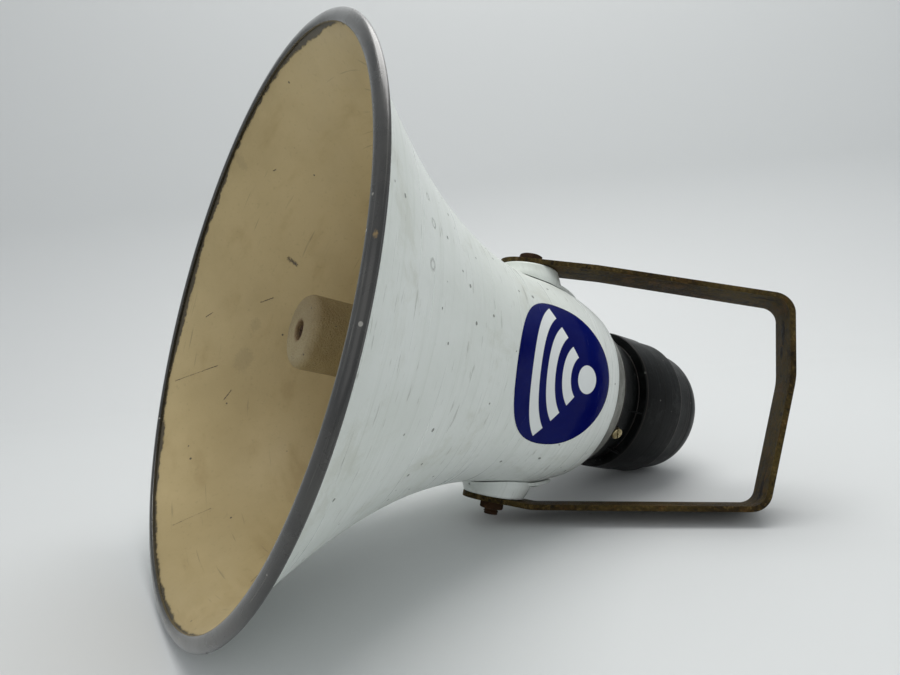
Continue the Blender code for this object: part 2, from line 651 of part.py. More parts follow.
def build_suspension():
    """The flexing surround, clamped at its rim between the housing and a ring."""
    inner = DOME_RADIUS + 0.0002 + COIL_THICKNESS + GAP
    outer = inner + SURROUND_WIDTH
    front = DOME_EDGE
    rear = front + SURROUND_THICKNESS
    outline = [(outer, rear), (outer, front), (inner, front), (inner, rear)]
    turned("surround", outline, DIAPHRAGM, TURNED, facets=INNER_FACETS)
    clamp_rear = TOP_PLATE_FRONT - GAP
    clamp = [(outer + 0.002, clamp_rear), (outer + 0.002, rear + GAP)]
    clamp += [(CHAMBER_RADIUS + GAP, rear + GAP), (CHAMBER_RADIUS + GAP, clamp_rear)]
    turned("clamp_ring", clamp, PHENOLIC, TURNED, facets=INNER_FACETS)


def build_motor():
    """Top plate, ring magnet, pole piece and back plate, with the coil's gap between them."""
    coil_outer = DOME_RADIUS + 0.0002 + COIL_THICKNESS
    plate_bore = coil_outer + COIL_AIR
    top = [(MOTOR_RADIUS, TOP_PLATE_REAR), (MOTOR_RADIUS, TOP_PLATE_FRONT)]
    top += [(plate_bore, TOP_PLATE_FRONT), (plate_bore, TOP_PLATE_REAR)]
    turned("top_plate", top, DULL_STEEL, TURNED, facets=INNER_FACETS)
    magnet_bore = MOTOR_RADIUS - MAGNET_WALL
    ring = [(MOTOR_RADIUS, MAGNET_REAR), (MOTOR_RADIUS, MAGNET_FRONT)]
    ring += [(magnet_bore, MAGNET_FRONT), (magnet_bore, MAGNET_REAR)]
    turned("magnet", ring, MAGNET, TURNED, facets=INNER_FACETS)
    pole_radius = DOME_RADIUS - FORMER_WALL - COIL_AIR
    pole_front = TOP_PLATE_FRONT - 0.0005
    hole = COVER_SCREW_RADIUS + SHANK_CLEARANCE
    pole = [(pole_radius, MAGNET_REAR), (pole_radius, pole_front), (hole, pole_front)]
    pole += [(hole, MAGNET_REAR)]
    turned("pole_piece", pole, DULL_STEEL, TURNED, facets=INNER_FACETS)
    back = [(MOTOR_RADIUS, BACK_REAR), (MOTOR_RADIUS, BACK_FRONT), (hole, BACK_FRONT)]
    back += [(hole, BACK_REAR)]
    turned("back_plate", back, DULL_STEEL, TURNED, facets=INNER_FACETS)


def build_magnet_ring():
    """The flange ring round the motor; its front lip screws down on the front housing."""
    lip = HOUSING_REAR_RADIUS - 0.0045
    bore = max(RING_RADIUS - RING_WALL, MOTOR_RADIUS + GAP)
    lip_rear = TOP_PLATE_FRONT - GAP
    outline = [(RING_RADIUS - 0.0005, RING_REAR), (RING_RADIUS, RING_REAR - 0.0005)]
    outline += [(RING_RADIUS, RING_FRONT + 0.0012), (RING_RADIUS - 0.0012, RING_FRONT)]
    outline += [(lip, RING_FRONT), (lip, lip_rear), (bore, lip_rear), (bore, RING_REAR)]
    turned("magnet_ring", outline, PHENOLIC, TURNED)


def cover_outline():
    """Outside of the rear cover, from the centre of its end to its front edge."""
    step = COVER_FRONT + COVER_STEP
    rounding = COVER_REAR - COVER_ROUND_LENGTH
    width = COVER_REAR_RADIUS - COVER_FLAT_RADIUS
    curve = []
    for i in range(7):
        angle = math.radians(90 - 15 * i)
        curve.append((COVER_FLAT_RADIUS + width * math.cos(angle),
                      rounding + COVER_ROUND_LENGTH * math.sin(angle)))
    front = [(COVER_FRONT_RADIUS - COVER_STEP_DROP, step + 0.0006), (COVER_FRONT_RADIUS, step)]
    front += [(COVER_FRONT_RADIUS, COVER_FRONT)]
    return curve + front


def build_rear_cover():
    recess = COVER_SCREW_HEAD + 0.0008
    floor = COVER_REAR - COVER_SCREW_HEAD_HEIGHT - 0.0008
    hole = COVER_SCREW_RADIUS + SHANK_CLEARANCE
    inner_end = min(COVER_REAR - COVER_WALL, floor - COVER_WALL)
    inner = COVER_REAR_RADIUS - COVER_WALL
    bore = max(COVER_FRONT_RADIUS - COVER_STEP_DROP - COVER_WALL, MOTOR_RADIUS + GAP)
    outline = [(recess, floor), (recess, COVER_REAR)] + cover_outline()
    outline += [(bore, COVER_FRONT), (bore, BACK_REAR + GAP), (inner, BACK_REAR + 0.004)]
    outline += [(COVER_FLAT_RADIUS, inner_end), (hole, inner_end), (hole, floor)]
    turned("rear_cover", outline, PHENOLIC, TURNED)
    top = floor + GAP + COVER_SCREW_HEAD_HEIGHT
    end = MAGNET_FRONT + 0.004
    profile = [(0, top), (COVER_SCREW_HEAD * 0.75, top - 0.0002), (COVER_SCREW_HEAD, top - 0.0012)]
    profile += [(COVER_SCREW_HEAD, floor + GAP), (COVER_SCREW_RADIUS, floor + GAP)]
    profile += [(COVER_SCREW_RADIUS, end), (0, end)]
    screw = turned("cover_screw", profile, DULL_STEEL, TURNED, facets=SMALL_FACETS, solid=True)
    combine(screw, "DIFFERENCE", slot_cutter("cover_screw_slot", top, TURNED))


def side_frame(name, side):
    """A frame on the bolt axis whose +Z points out of the upper or the lower side."""
    return frame(name, BOLT_AXIS, rotation=(0.0 if side > 0 else math.pi, 0.0, 0.0))


def mirrored(side):
    """Rearward direction along Y in an upper or lower side frame."""
    return 1.0 if side > 0 else -1.0


def build_boss(name, side):
    """A round pad on an oval flange that follows the neck."""
    place = side_frame(f"{name}_place", side)
    rearward = mirrored(side)
    flange_top = NECK_RADIUS + 0.02
    flange = rod(name, 1.0, 0.03, flange_top, PAINT, place, facets=36)
    flange.scale = (FLANGE_HALF_WIDTH, FLANGE_HALF_LENGTH, 1.0)
    flange.location = (0.0, rearward * FLANGE_OFFSET, 0.0)
    front = BOLT_DEPTH + FLANGE_OFFSET - FLANGE_HALF_LENGTH - 0.004
    rear = BOLT_DEPTH + FLANGE_OFFSET + FLANGE_HALF_LENGTH + 0.004
    depths = [front + (rear - front) * i / 10 for i in range(11)]
    over = [(bell_radius(d) + FLANGE_STANDOFF + FLANGE_THICKNESS, d) for d in depths]
    under = [(bell_radius(d) + FLANGE_STANDOFF, d) for d in depths]
    combine(flange, "INTERSECT",
            turned(f"{name}_flange_shell", over[::-1] + under, None, TURNED, CUTTERS,
                   facets=BELL_FACETS))
    low = bell_radius(BOLT_DEPTH + BOSS_BASE_RADIUS) - 0.012
    corner = (BOSS_TOP_RADIUS - BOSS_ROUNDING, PAD_HEIGHT - BOSS_ROUNDING)
    pod = [(0, PAD_HEIGHT)] + arc(corner, BOSS_ROUNDING, 90, 0, 3)
    pod += [(BOSS_BASE_RADIUS, NECK_RADIUS - 0.001), (BOSS_BASE_RADIUS, low), (0, low)]
    combine(flange, "UNION",
            turned(f"{name}_pod", pod, None, place, CUTTERS, facets=36, solid=True))
    under_all = [(0, rear)] + under[::-1] + [(0, front)]
    combine(flange, "DIFFERENCE",
            turned(f"{name}_neck_cut", under_all, None, TURNED, CUTTERS, facets=BELL_FACETS,
                   solid=True))
    bore = rod(f"{name}_bore", BOLT_RADIUS + SHANK_CLEARANCE, 0.03, PAD_HEIGHT + 0.01, None, place,
               CUTTERS, facets=24)
    combine(flange, "DIFFERENCE", bore)
    for spot, hole in rivet_frames(f"{name}_rivet_hole", side):
        cutter = rod(f"{name}_rivet_cut_{spot}", RIVET_RADIUS + SHANK_CLEARANCE, -0.006, 0.012,
                     None, hole, CUTTERS)
        combine(flange, "DIFFERENCE", cutter)


def rivet_frames(prefix, side):
    """Frames on the neck's surface with +Z along the surface's normal."""
    depth = BOLT_DEPTH + RIVET_SETBACK
    out, back = bell_normal(depth)
    radius = bell_radius(depth)
    for spot, sign in (("left", -1), ("right", 1)):
        around = sign * math.asin(RIVET_SPREAD / radius)
        normal = Vector((out * math.sin(around), back, side * out * math.cos(around)))
        centre = Vector((radius * math.sin(around), depth, side * radius * math.cos(around)))
        place = frame(f"{prefix}_{spot}", HORN)
        place.location = centre
        place.rotation_mode = "QUATERNION"
        place.rotation_quaternion = normal.to_track_quat("Z", "Y")
        yield spot, place


def build_rivets(name, side):
    """Domed rivets through the flange and the bell."""
    seat = FLANGE_STANDOFF + FLANGE_THICKNESS + GAP + 0.0002
    under = -BELL_WALL - GAP - 0.0002
    for spot, place in rivet_frames(f"{name}_rivet_place", side):
        outline = [(0, seat + RIVET_HEAD_HEIGHT), (RIVET_HEAD * 0.6, seat + RIVET_HEAD_HEIGHT * 0.8)]
        outline += [(RIVET_HEAD, seat), (RIVET_RADIUS, seat), (RIVET_RADIUS, under)]
        outline += [(RIVET_HEAD, under), (RIVET_HEAD * 0.6, under - RIVET_HEAD_HEIGHT * 0.8)]
        outline += [(0, under - RIVET_HEAD_HEIGHT)]
        turned(f"{name}_{spot}", outline, PAINT, place, facets=SMALL_FACETS, solid=True)
        hole = rod(f"bell_hole_{name}_{spot}", RIVET_RADIUS + SHANK_CLEARANCE, -0.004, 0.0007,
                   None, place, CUTTERS)
        combine(bpy.data.objects["bell"], "DIFFERENCE", hole)


def build_bolts():
    """A hexagon-headed bolt in the upper boss, and a stud with a nut in the lower one."""
    upper = side_frame("bolt_upper_place", 1)
    seat = STRAP_OUTER + GAP
    bolt = rod("bolt_upper", BOLT_RADIUS, SHANK_END, seat + 0.001, RUSTY_STEEL, upper, facets=24)
    head = rod("bolt_upper_head", HEX_RADIUS, seat, seat + HEAD_HEIGHT, None, upper, CUTTERS,
               facets=6)
    combine(bolt, "UNION", head)
    lower = side_frame("stud_lower_place", -1)
    end = seat + NUT_HEIGHT + STUD_PROUD
    rod("stud_lower", BOLT_RADIUS, SHANK_END, end, RUSTY_STEEL, lower, facets=24)
    nut = rod("nut_lower", HEX_RADIUS, seat, seat + NUT_HEIGHT, RUSTY_STEEL, lower, facets=6,
              turn=math.radians(12))
    bore = rod("nut_bore", BOLT_RADIUS + SHANK_CLEARANCE, seat - 0.001, seat + NUT_HEIGHT + 0.001,
               None, lower, CUTTERS, facets=24)
    combine(nut, "DIFFERENCE", bore)


def yoke_corners():
    """Corners of the strap's outer face, as (reach, height) from the bolt axis."""
    return [(0.0, STRAP_OUTER), (UPPER_BEND, STRAP_OUTER),
            (YOKE_REACH - UPPER_BOW, STRAP_OUTER - UPPER_DROP), (YOKE_REACH, CROSSBAR_CROWN),
            (YOKE_REACH - LOWER_BOW, -STRAP_OUTER + LOWER_DROP), (LOWER_BEND, -STRAP_OUTER),
            (0.0, -STRAP_OUTER)]


def rounded_path(corners, radii, steps):
    """The polyline through some corners, with an arc of the given radius at each inner one."""
    path = [Vector(corners[0])]
    for i in range(1, len(corners) - 1):
        point = Vector(corners[i])
        before = (Vector(corners[i - 1]) - point).normalized()
        after = (Vector(corners[i + 1]) - point).normalized()
        bend = math.pi - before.angle(after)
        run = radii[i] * math.tan(bend / 2)
        centre = point + (before + after).normalized() * radii[i] / math.cos(bend / 2)
        first = point + before * run - centre
        last = point + after * run - centre
        count = max(2, round(steps * bend / (math.pi / 2)))
        sweep = first.angle_signed(last)
        for j in range(count + 1):
            turn = Matrix.Rotation(-sweep * j / count, 2)
            path.append(centre + turn @ first)
    path.append(Vector(corners[-1]))
    return path


def strap_stations():
    """Stations along the strap's outer face with its half width, narrowing to round tips."""
    half = STRAP_WIDTH / 2
    radii = [0, 0.06, CORNER_RADIUS, 0.05, CORNER_RADIUS, 0.02, 0]
    body = rounded_path(yoke_corners(), radii, 7)
    centre = half - STRAP_TIP
    tip = []
    for i in range(1, 8):
        angle = math.radians(90 * i / 7.4)
        tip.append((centre - half * math.sin(angle), half * math.cos(angle)))
    stations = [(Vector((y, STRAP_OUTER)), w) for y, w in reversed(tip)]
    stations += [(Vector((centre, STRAP_OUTER)), half)]
    stations += [(point, half) for point in body]
    stations += [(Vector((centre, -STRAP_OUTER)), half)]
    stations += [(Vector((y, -STRAP_OUTER)), w) for y, w in tip]
    return stations


def build_yoke():
    mesh = bpy.data.meshes.new("yoke")
    builder = bmesh.new()
    rows = []
    for point, half in strap_stations():
        rows.append([builder.verts.new((sign * half, point.x, point.y)) for sign in (-1, 1)])
    for first, second in zip(rows, rows[1:]):
        builder.faces.new((first[0], first[1], second[1], second[0]))
    builder.to_mesh(mesh)
    builder.free()
    yoke = keep(bpy.data.objects.new("yoke", mesh), RUSTY_STEEL, YOKE_PIVOT, PARTS)
    skin = yoke.modifiers.new("Thickness", "SOLIDIFY")
    skin.thickness = STRAP_THICKNESS
    skin.offset = -1.0
    skin.use_even_offset = True
    hole = rod("yoke_hole", BOLT_RADIUS + STRAP_HOLE_CLEARANCE, -STRAP_OUTER - 0.01,
               STRAP_OUTER + 0.01, None, YOKE_PIVOT, CUTTERS, facets=24)
    combine(yoke, "DIFFERENCE", hole)


def rim_drop(tilt):
    """Distance from the mouth's centre down to the lowest point of the tilted rim trim."""
    return LIP_RADIUS * math.cos(tilt) + trim_bulge(tilt)


def cover_drop(tilt):
    """Distance from the mouth's centre down to the lowest point of the rear cover."""
    return max(radius * math.cos(tilt) + depth * math.sin(tilt)
               for radius, depth in cover_outline())


def halved(low, high, is_low):
    """The value between low and high at which is_low turns false, by halving the interval."""
    for _ in range(40):
        middle = (low + high) / 2
        if is_low(middle):
            low = middle
        else:
            high = middle
    return low


def resting_tilt():
    """Angle of the bell axis when the rim trim and the rear cover rest on the same plane."""
    return halved(0.0, math.radians(60.0), lambda tilt: cover_drop(tilt) < rim_drop(tilt))


def posed(tilt, roll):
    """Matrix of the horn frame lying on z = 0, rolled about its own bell axis first."""
    return (Matrix.Translation((0, 0, rim_drop(tilt))) @ Matrix.Rotation(-tilt, 4, "X")
            @ Matrix.Rotation(roll, 4, "Y"))


def lowest_of_yoke(tilt, roll):
    """Height of the lowest point of the strap and of the stud's end, for a given roll."""
    points = []
    turn = Matrix.Rotation(math.radians(-YOKE_TURN), 4, "Z")
    for point, half in strap_stations():
        points += [turn @ Vector((sign * half, point.x, point.y)) for sign in (-1, 1)]
    end = -(STRAP_OUTER + GAP + NUT_HEIGHT + STUD_PROUD)
    for i in range(12):
        around = math.tau * i / 12
        points.append(Vector((BOLT_RADIUS * math.cos(around), BOLT_RADIUS * math.sin(around), end)))
    pose = posed(tilt, roll) @ Matrix.Translation((0, BOLT_DEPTH, 0))
    return min((pose @ point).z for point in points)


def resting_roll(tilt):
    """Roll at which the yoke or the stud touches the plane too."""
    return halved(math.radians(-25.0), math.radians(10.0),
                  lambda roll: lowest_of_yoke(tilt, roll) > 0)


def rest_matrix():
    """Pose of the horn with the middle of its length over the origin."""
    tilt = resting_tilt()
    front = -LIP_RADIUS * math.sin(tilt) - trim_bulge(tilt - math.pi / 2)
    rear = max(depth * math.cos(tilt) + radius * math.sin(tilt)
               for radius, depth in cover_outline())
    middle = Matrix.Translation((0, -(front + rear) / 2, 0))
    return middle @ posed(tilt, resting_roll(tilt))


for leftover in list(bpy.data.objects):
    bpy.data.objects.remove(leftover, do_unlink=True)

PARTS = collection("horn_loudspeaker")
CUTTERS = collection("cutters")

PAINT = material("white_paint", (0.72, 0.73, 0.68), 0.45)
INNER_PAINT = material("tan_paint", (0.62, 0.52, 0.38), 0.5)
RUBBER = material("grey_rubber", (0.055, 0.055, 0.06), 0.3)
CAST_GREY = material("cast_aluminium", (0.42, 0.42, 0.40), 0.5, 0.8)
BARE_METAL = material("bare_metal", (0.45, 0.45, 0.43), 0.45, 0.9)
PHENOLIC = material("black_phenolic", (0.02, 0.021, 0.024), 0.4)
RUSTY_STEEL = material("rusty_steel", (0.12, 0.07, 0.035), 0.8, 0.3)
DULL_STEEL = material("dull_steel", (0.35, 0.35, 0.36), 0.45, 1.0)
BRASS = material("brass", (0.66, 0.52, 0.24), 0.35, 1.0)
COPPER = material("copper", (0.72, 0.36, 0.2), 0.35, 1.0)
MAGNET = material("magnet", (0.09, 0.09, 0.1), 0.5, 0.4)
DIAPHRAGM = material("phenolic_cloth", (0.32, 0.16, 0.07), 0.6)
CORK = material("gasket", (0.28, 0.18, 0.1), 0.85)

HORN = frame("horn_frame", None)
HORN.matrix_world = rest_matrix()
TURNED = frame("turned_frame", HORN, rotation=(math.radians(-90), 0, 0))
DRIVE = frame("diaphragm_slide", TURNED)
BOLT_AXIS = frame("bolt_axis", HORN, (0, BOLT_DEPTH, 0))
YOKE_PIVOT = frame("yoke_pivot", BOLT_AXIS, rotation=(0, 0, math.radians(-YOKE_TURN)))

build_bell()
build_rim_trim()
build_reflector()
build_tone_arm()
build_spider()
build_reflector_screw()
build_throat_plate()
build_plate_screws()
build_collar()
build_throat_gasket()
build_front_housing()
build_terminals()
build_phasing_plug()
build_moving_coil()
build_suspension()
build_motor()
build_magnet_ring()
build_rear_cover()
for boss, rivets, direction in (("boss_upper", "rivet_upper", 1), ("boss_lower", "rivet_lower", -1)):
    build_boss(boss, direction)
    build_rivets(rivets, direction)
build_bolts()
build_yoke()
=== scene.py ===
import json
import math

import bmesh
import bpy
from mathutils import Matrix, Quaternion, Vector


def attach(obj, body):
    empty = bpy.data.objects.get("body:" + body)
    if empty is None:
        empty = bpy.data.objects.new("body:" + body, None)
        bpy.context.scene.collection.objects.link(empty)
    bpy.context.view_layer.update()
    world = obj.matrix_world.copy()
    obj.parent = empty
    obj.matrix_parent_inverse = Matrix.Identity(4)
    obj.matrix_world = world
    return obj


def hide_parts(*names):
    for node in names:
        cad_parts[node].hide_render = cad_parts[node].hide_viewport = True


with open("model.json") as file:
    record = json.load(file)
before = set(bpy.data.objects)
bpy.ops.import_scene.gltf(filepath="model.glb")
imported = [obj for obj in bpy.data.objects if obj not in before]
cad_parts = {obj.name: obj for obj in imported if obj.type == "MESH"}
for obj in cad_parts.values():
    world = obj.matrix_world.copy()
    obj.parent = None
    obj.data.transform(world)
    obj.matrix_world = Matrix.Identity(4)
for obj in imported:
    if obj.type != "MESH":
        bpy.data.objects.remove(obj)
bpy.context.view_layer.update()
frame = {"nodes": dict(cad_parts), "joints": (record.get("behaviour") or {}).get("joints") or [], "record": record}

# Table, light and camera.
# The horn lies on a plain white paper sweep under a large soft light from above, with weaker
# ones behind and in front. The camera stands close, a little above the table.
scene = bpy.context.scene
scene.view_settings.view_transform = "Standard"

camera = bpy.data.objects.new("camera", bpy.data.cameras.new("camera"))
scene.collection.objects.link(camera)
scene.camera = camera
azimuth = math.radians(58.35)
elevation = math.radians(6.36)
roll = math.radians(-4.97)
level = math.cos(elevation)
back = Vector((math.sin(azimuth) * level, -math.cos(azimuth) * level, math.sin(elevation)))
camera.location = (0.3374, -0.2131, 0.1626)
camera.rotation_mode = "QUATERNION"
camera.rotation_quaternion = back.to_track_quat("Z", "Y") @ Quaternion((0, 0, 1), roll)
camera.data.lens = 26.0
camera.data.sensor_width = 36.0
camera.data.clip_start = 0.01


def shine(name, place, target, size, power, colour):
    """A square area light at a place, facing a target."""
    lamp = bpy.data.lights.new(name, "AREA")
    lamp.size = size
    lamp.energy = power
    lamp.color = colour
    stand = bpy.data.objects.new(name, lamp)
    stand.location = place
    stand.rotation_euler = (Vector(target) - Vector(place)).to_track_quat("-Z", "Y").to_euler()
    scene.collection.objects.link(stand)


shine("overhead_light", (-0.15, 0.30, 1.5), (0.0, 0.05, 0.1), 1.1, 15.0, (1.0, 0.99, 0.97))
shine("window_light", (1.5, 0.9, 0.9), (0.0, 0.1, 0.1), 0.9, 1.5, (0.95, 0.98, 1.0))
shine("front_light", (0.5, -1.5, 0.8), (0.0, 0.0, 0.15), 1.0, 1.5, (1.0, 0.98, 0.95))

scene.world = bpy.data.worlds.new("studio")
scene.world.use_nodes = True
studio = scene.world.node_tree.nodes["Background"]
studio.inputs["Color"].default_value = (0.94, 0.97, 1.0, 1.0)
studio.inputs["Strength"].default_value = 0.53



def begin(name, add, **sizes):
    """Starts a piece from a plain shape, with nothing else selected."""
    bpy.ops.object.select_all(action="DESELECT")
    add(**sizes)
    piece = bpy.context.object
    piece.name = name
    return piece


def settle(piece, place=None):
    """Puts a piece in its place for good, with its origin at zero, unturned and unscaled."""
    if place is not None:
        piece.matrix_world = place
    bpy.ops.object.transform_apply(location=True, rotation=True, scale=True)


def coat(piece, material):
    """Gives a piece one material all over."""
    piece.data.materials.clear()
    piece.data.materials.append(material)


sweep_size = 6.0
sweep_bend = 0.30
wall_distance = 1.15
wall_height = 2.5
sweep = begin("paper_sweep", bpy.ops.mesh.primitive_plane_add, size=sweep_size)
bpy.ops.object.mode_set(mode="EDIT")
bpy.ops.mesh.select_all(action="DESELECT")
paper_mesh = bmesh.from_edit_mesh(sweep.data)
for vertex in paper_mesh.verts:
    vertex.select = vertex.co.y > 0
paper_mesh.select_flush(True)
bmesh.update_edit_mesh(sweep.data)
bpy.ops.mesh.spin(steps=24, angle=math.radians(90), center=(0, sweep_size / 2, sweep_bend),
                  axis=(-1, 0, 0))
bpy.ops.mesh.extrude_region_move(TRANSFORM_OT_translate={"value": (0.0, 0.0, wall_height)})
bpy.ops.object.mode_set(mode="OBJECT")
away = Vector((-back.x, -back.y, 0.0)).normalized()
sweep.location = Vector((camera.location.x, camera.location.y, 0.0)) + away * (
    wall_distance - sweep_bend - sweep_size / 2)
sweep.rotation_euler = (0.0, 0.0, math.atan2(-away.x, away.y))
settle(sweep)
bpy.ops.object.shade_smooth()
paper = bpy.data.materials.new("white_paper")
paper.use_nodes = True
paper_shader = paper.node_tree.nodes["Principled BSDF"]
paper_shader.inputs["Base Color"].default_value = (0.70, 0.715, 0.715, 1.0)
paper_shader.inputs["Roughness"].default_value = 0.5
paper_shader.inputs["Specular IOR Level"].default_value = 0.3
coat(sweep, paper)

# The bell.
# A spun sheet-metal horn, 1.5 mm thick, whose flare runs into a straight neck and closes in a
# little behind it. It is brush-painted white outside and sprayed tan inside.
swing = next(joint for joint in frame["joints"] if joint["name"] == "yoke_swing")
travel = next(joint for joint in frame["joints"] if joint["name"] == "diaphragm_travel")
rearward = Vector(travel["axis"]).normalized()
upward = Vector(swing["axis"]).normalized()
sideways = rearward.cross(upward)
bolt_depth = 0.1813
mouth_centre = Vector(swing["pos_m"]) - rearward * bolt_depth
horn = Matrix((sideways, rearward, upward)).transposed().to_4x4()
horn.translation = mouth_centre
trim_half_width = 0.0041
trim_half_depth = 0.0020
trim_lean = math.radians(20.0)
trim_bulge = math.hypot(trim_half_width * math.cos(trim_lean),
                        trim_half_depth * math.sin(trim_lean))
mouth_radius = 0.1553
lip_radius = mouth_radius - trim_bulge
bell_length = 0.2185
flare_length = 0.171
neck_radius = 0.0669
shoulder_length = 0.0445
rear_radius = 0.0587
bell_wall = 0.0015
weld = 0.000002


def bell_radius(depth):
    """Outer radius of the bell at a depth behind the mouth."""
    if depth < flare_length:
        rest = max(0.0, 1.0 - depth / flare_length)
        return neck_radius + (lip_radius - neck_radius) * rest ** 1.9
    share = max(0.0, (depth - bell_length + shoulder_length) / shoulder_length)
    return neck_radius - (neck_radius - rear_radius) * share ** 2


def bell_skin(depth, offset):
    """A point at a distance from the bell's outside, as (radius, depth)."""
    step = 0.0005
    slope = (bell_radius(depth + step) - bell_radius(depth - step)) / (2 * step)
    length = math.hypot(1.0, slope)
    return bell_radius(depth) + offset / length, depth - offset * slope / length


def smooth(sharp):
    """Shades the selected piece smooth, but for edges sharper than an angle in degrees."""
    bpy.ops.object.shade_smooth_by_angle(angle=math.radians(sharp))


def turn_on_lathe(name, section, steps=180, place=horn, crease=30.0):
    """Spins a section of (radius, distance along the axis) points, closed if it is off the axis."""
    if section[0][0] > 0.0:
        section = [*section, section[0]]
    piece = begin(name, bpy.ops.mesh.primitive_plane_add, size=0.01, location=(*section[0], 0.0))
    bpy.ops.object.mode_set(mode="EDIT")
    bpy.ops.mesh.merge(type="CENTER")
    for here, there in zip(section, section[1:]):
        move = (there[0] - here[0], there[1] - here[1], 0.0)
        bpy.ops.mesh.extrude_region_move(TRANSFORM_OT_translate={"value": move})
    bpy.ops.mesh.select_all(action="SELECT")
    bpy.ops.mesh.remove_doubles(threshold=weld)
    bpy.ops.mesh.spin(steps=steps, angle=math.tau, center=(0, 0, 0), axis=(0, 1, 0))
    bpy.ops.mesh.select_all(action="SELECT")
    bpy.ops.mesh.remove_doubles(threshold=weld)
    bpy.ops.mesh.normals_make_consistent(inside=False)
    bpy.ops.object.mode_set(mode="OBJECT")
    settle(piece)
    settle(piece, place)
    smooth(crease)
    return piece


def corner(middle, radius, start, end, steps=6, height=None):
    """Points along an arc, from one angle in degrees to another. Its height may differ."""
    points = []
    for i in range(steps + 1):
        angle = math.radians(start + (end - start) * i / steps)
        points.append((middle[0] + radius * math.cos(angle),
                       middle[1] + (height or radius) * math.sin(angle)))
    return points


class Finish:
    """A material in the making: its tone and its relief are built up layer by layer."""

    def __init__(self, name, roughness=0.5, metallic=0.0, specular=0.5):
        self.material = bpy.data.materials.new(name)
        self.material.use_nodes = True
        self.tree = self.material.node_tree
        self.shader = self.tree.nodes["Principled BSDF"]
        self.shader.inputs["Roughness"].default_value = roughness
        self.shader.inputs["Metallic"].default_value = metallic
        self.shader.inputs["Specular IOR Level"].default_value = specular
        self.tone = None
        self.relief = None
        self.place = self.node("TexCoord").outputs["Object"]
        self.space = self.seen_from(horn)

    def join(self, value, socket):
        """Links an output to a socket, or sets the socket to a plain value."""
        if isinstance(value, bpy.types.NodeSocket):
            self.tree.links.new(value, socket)
        else:
            socket.default_value = value

    def node(self, kind, **inputs):
        """Adds a node and fills its inputs, named in small letters."""
        node = self.tree.nodes.new("ShaderNode" + kind)
        for name, value in inputs.items():
            self.join(value, node.inputs[name.replace("_", " ").title()])
        return node

    def calculate(self, kind, operation, values):
        """Adds a node for one step of arithmetic on some values."""
        node = self.node(kind)
        node.operation = operation
        for value, socket in zip(values, node.inputs):
            self.join(value, socket)
        return node

    def math(self, operation, *values):
        return self.calculate("Math", operation, values).outputs[0]

    def times(self, first, second):
        return self.math("MULTIPLY", first, second)

    def measure(self, operation, *vectors):
        return self.calculate("VectorMath", operation, vectors).outputs["Value"]

    def strongest(self, patterns):
        """The highest of several patterns at each spot."""
        highest = patterns[0]
        for pattern in patterns[1:]:
            highest = self.math("MAXIMUM", highest, pattern)
        return highest

    def mapped(self, move=(0, 0, 0), turn=(0, 0, 0), scale=(1, 1, 1), vector=None):
        node = self.node("Mapping", vector=vector or self.space, location=move, rotation=turn,
                         scale=scale)
        return node.outputs["Vector"]

    def seen_from(self, frame_matrix):
        """Places in metres in a piece's own frame, such as the horn's: side, depth, height."""
        inverse = frame_matrix.inverted()
        return self.mapped(inverse.translation, inverse.to_euler(), vector=self.place)

    def split(self, vector=None):
        """The X, Y and Z of a place, in the horn's frame unless another is given."""
        return self.node("SeparateXYZ", vector=vector or self.space).outputs

    def noise(self, scale, detail=4.0, rough=0.55, warp=0.0, vector=None):
        node = self.node("TexNoise", vector=vector or self.space, scale=scale, detail=detail,
                         roughness=rough, distortion=warp)
        return node.outputs["Fac"]

    def streaks(self, stretch, detail=4.0, rough=0.55, turn=(0, 0, 0)):
        """Noise drawn out to one side, by its scale to the side, in depth and in height."""
        return self.noise(1.0, detail, rough, vector=self.mapped(turn=turn, scale=stretch))

    def threads(self, axis, scale):
        """Even bands across an axis."""
        node = self.node("TexWave", vector=self.space, scale=scale)
        node.bands_direction = axis
        return node.outputs["Fac"]

    def between(self, value, low, high, start=0.0, end=1.0):
        """A smooth step of a value from one limit to another."""
        node = self.node("MapRange", value=value, from_min=low, from_max=high, to_min=start,
                         to_max=end)
        node.interpolation_type = "SMOOTHSTEP"
        return node.outputs["Result"]

    def specks(self, scale, size, share, move=(0, 0, 0)):
        """Scattered spots: a share of the cells of a pattern hold one, each of its own size."""
        cells = self.node("TexVoronoi", vector=self.mapped(move), scale=scale)
        parts = self.node("SeparateColor", color=cells.outputs["Color"]).outputs
        reach = self.times(parts["Green"], size)
        inside = self.math("SUBTRACT", reach, cells.outputs["Distance"])
        chosen = self.math("LESS_THAN", parts["Red"], share)
        return self.times(self.between(inside, 0.0, size * 0.25), chosen)

    def mark(self, place, size, ragged=0.35, vector=None):
        """One spot with a ragged edge at a place, as long and wide as its size."""
        moved = self.mapped([-c for c in place], vector=vector)
        scaled = self.mapped(scale=[1.0 / s for s in size], vector=moved)
        wobble = self.times(self.noise(900.0, 3.0, vector=vector), ragged * 2)
        wobble = self.math("SUBTRACT", wobble, ragged)
        return self.between(self.math("ADD", self.measure("LENGTH", scaled), wobble), 1.1, 0.7)

    def scratch(self, start, end, width):
        """A thin ragged line from one place to another, darkest in its middle."""
        run = Vector(end) - Vector(start)
        moved = self.mapped([-c for c in start])
        share = self.measure("DOT_PRODUCT", moved, run / run.length_squared)
        share = self.math("MINIMUM", self.math("MAXIMUM", share, 0.0), 1.0)
        foot = self.calculate("VectorMath", "MULTIPLY", (run, share)).outputs["Vector"]
        wobble = self.times(self.noise(1100.0, 3.0, 0.7), width * 2.4)
        gap = self.math("ADD", self.measure("DISTANCE", moved, foot), wobble)
        return self.between(gap, width * 1.9, width * 1.2)

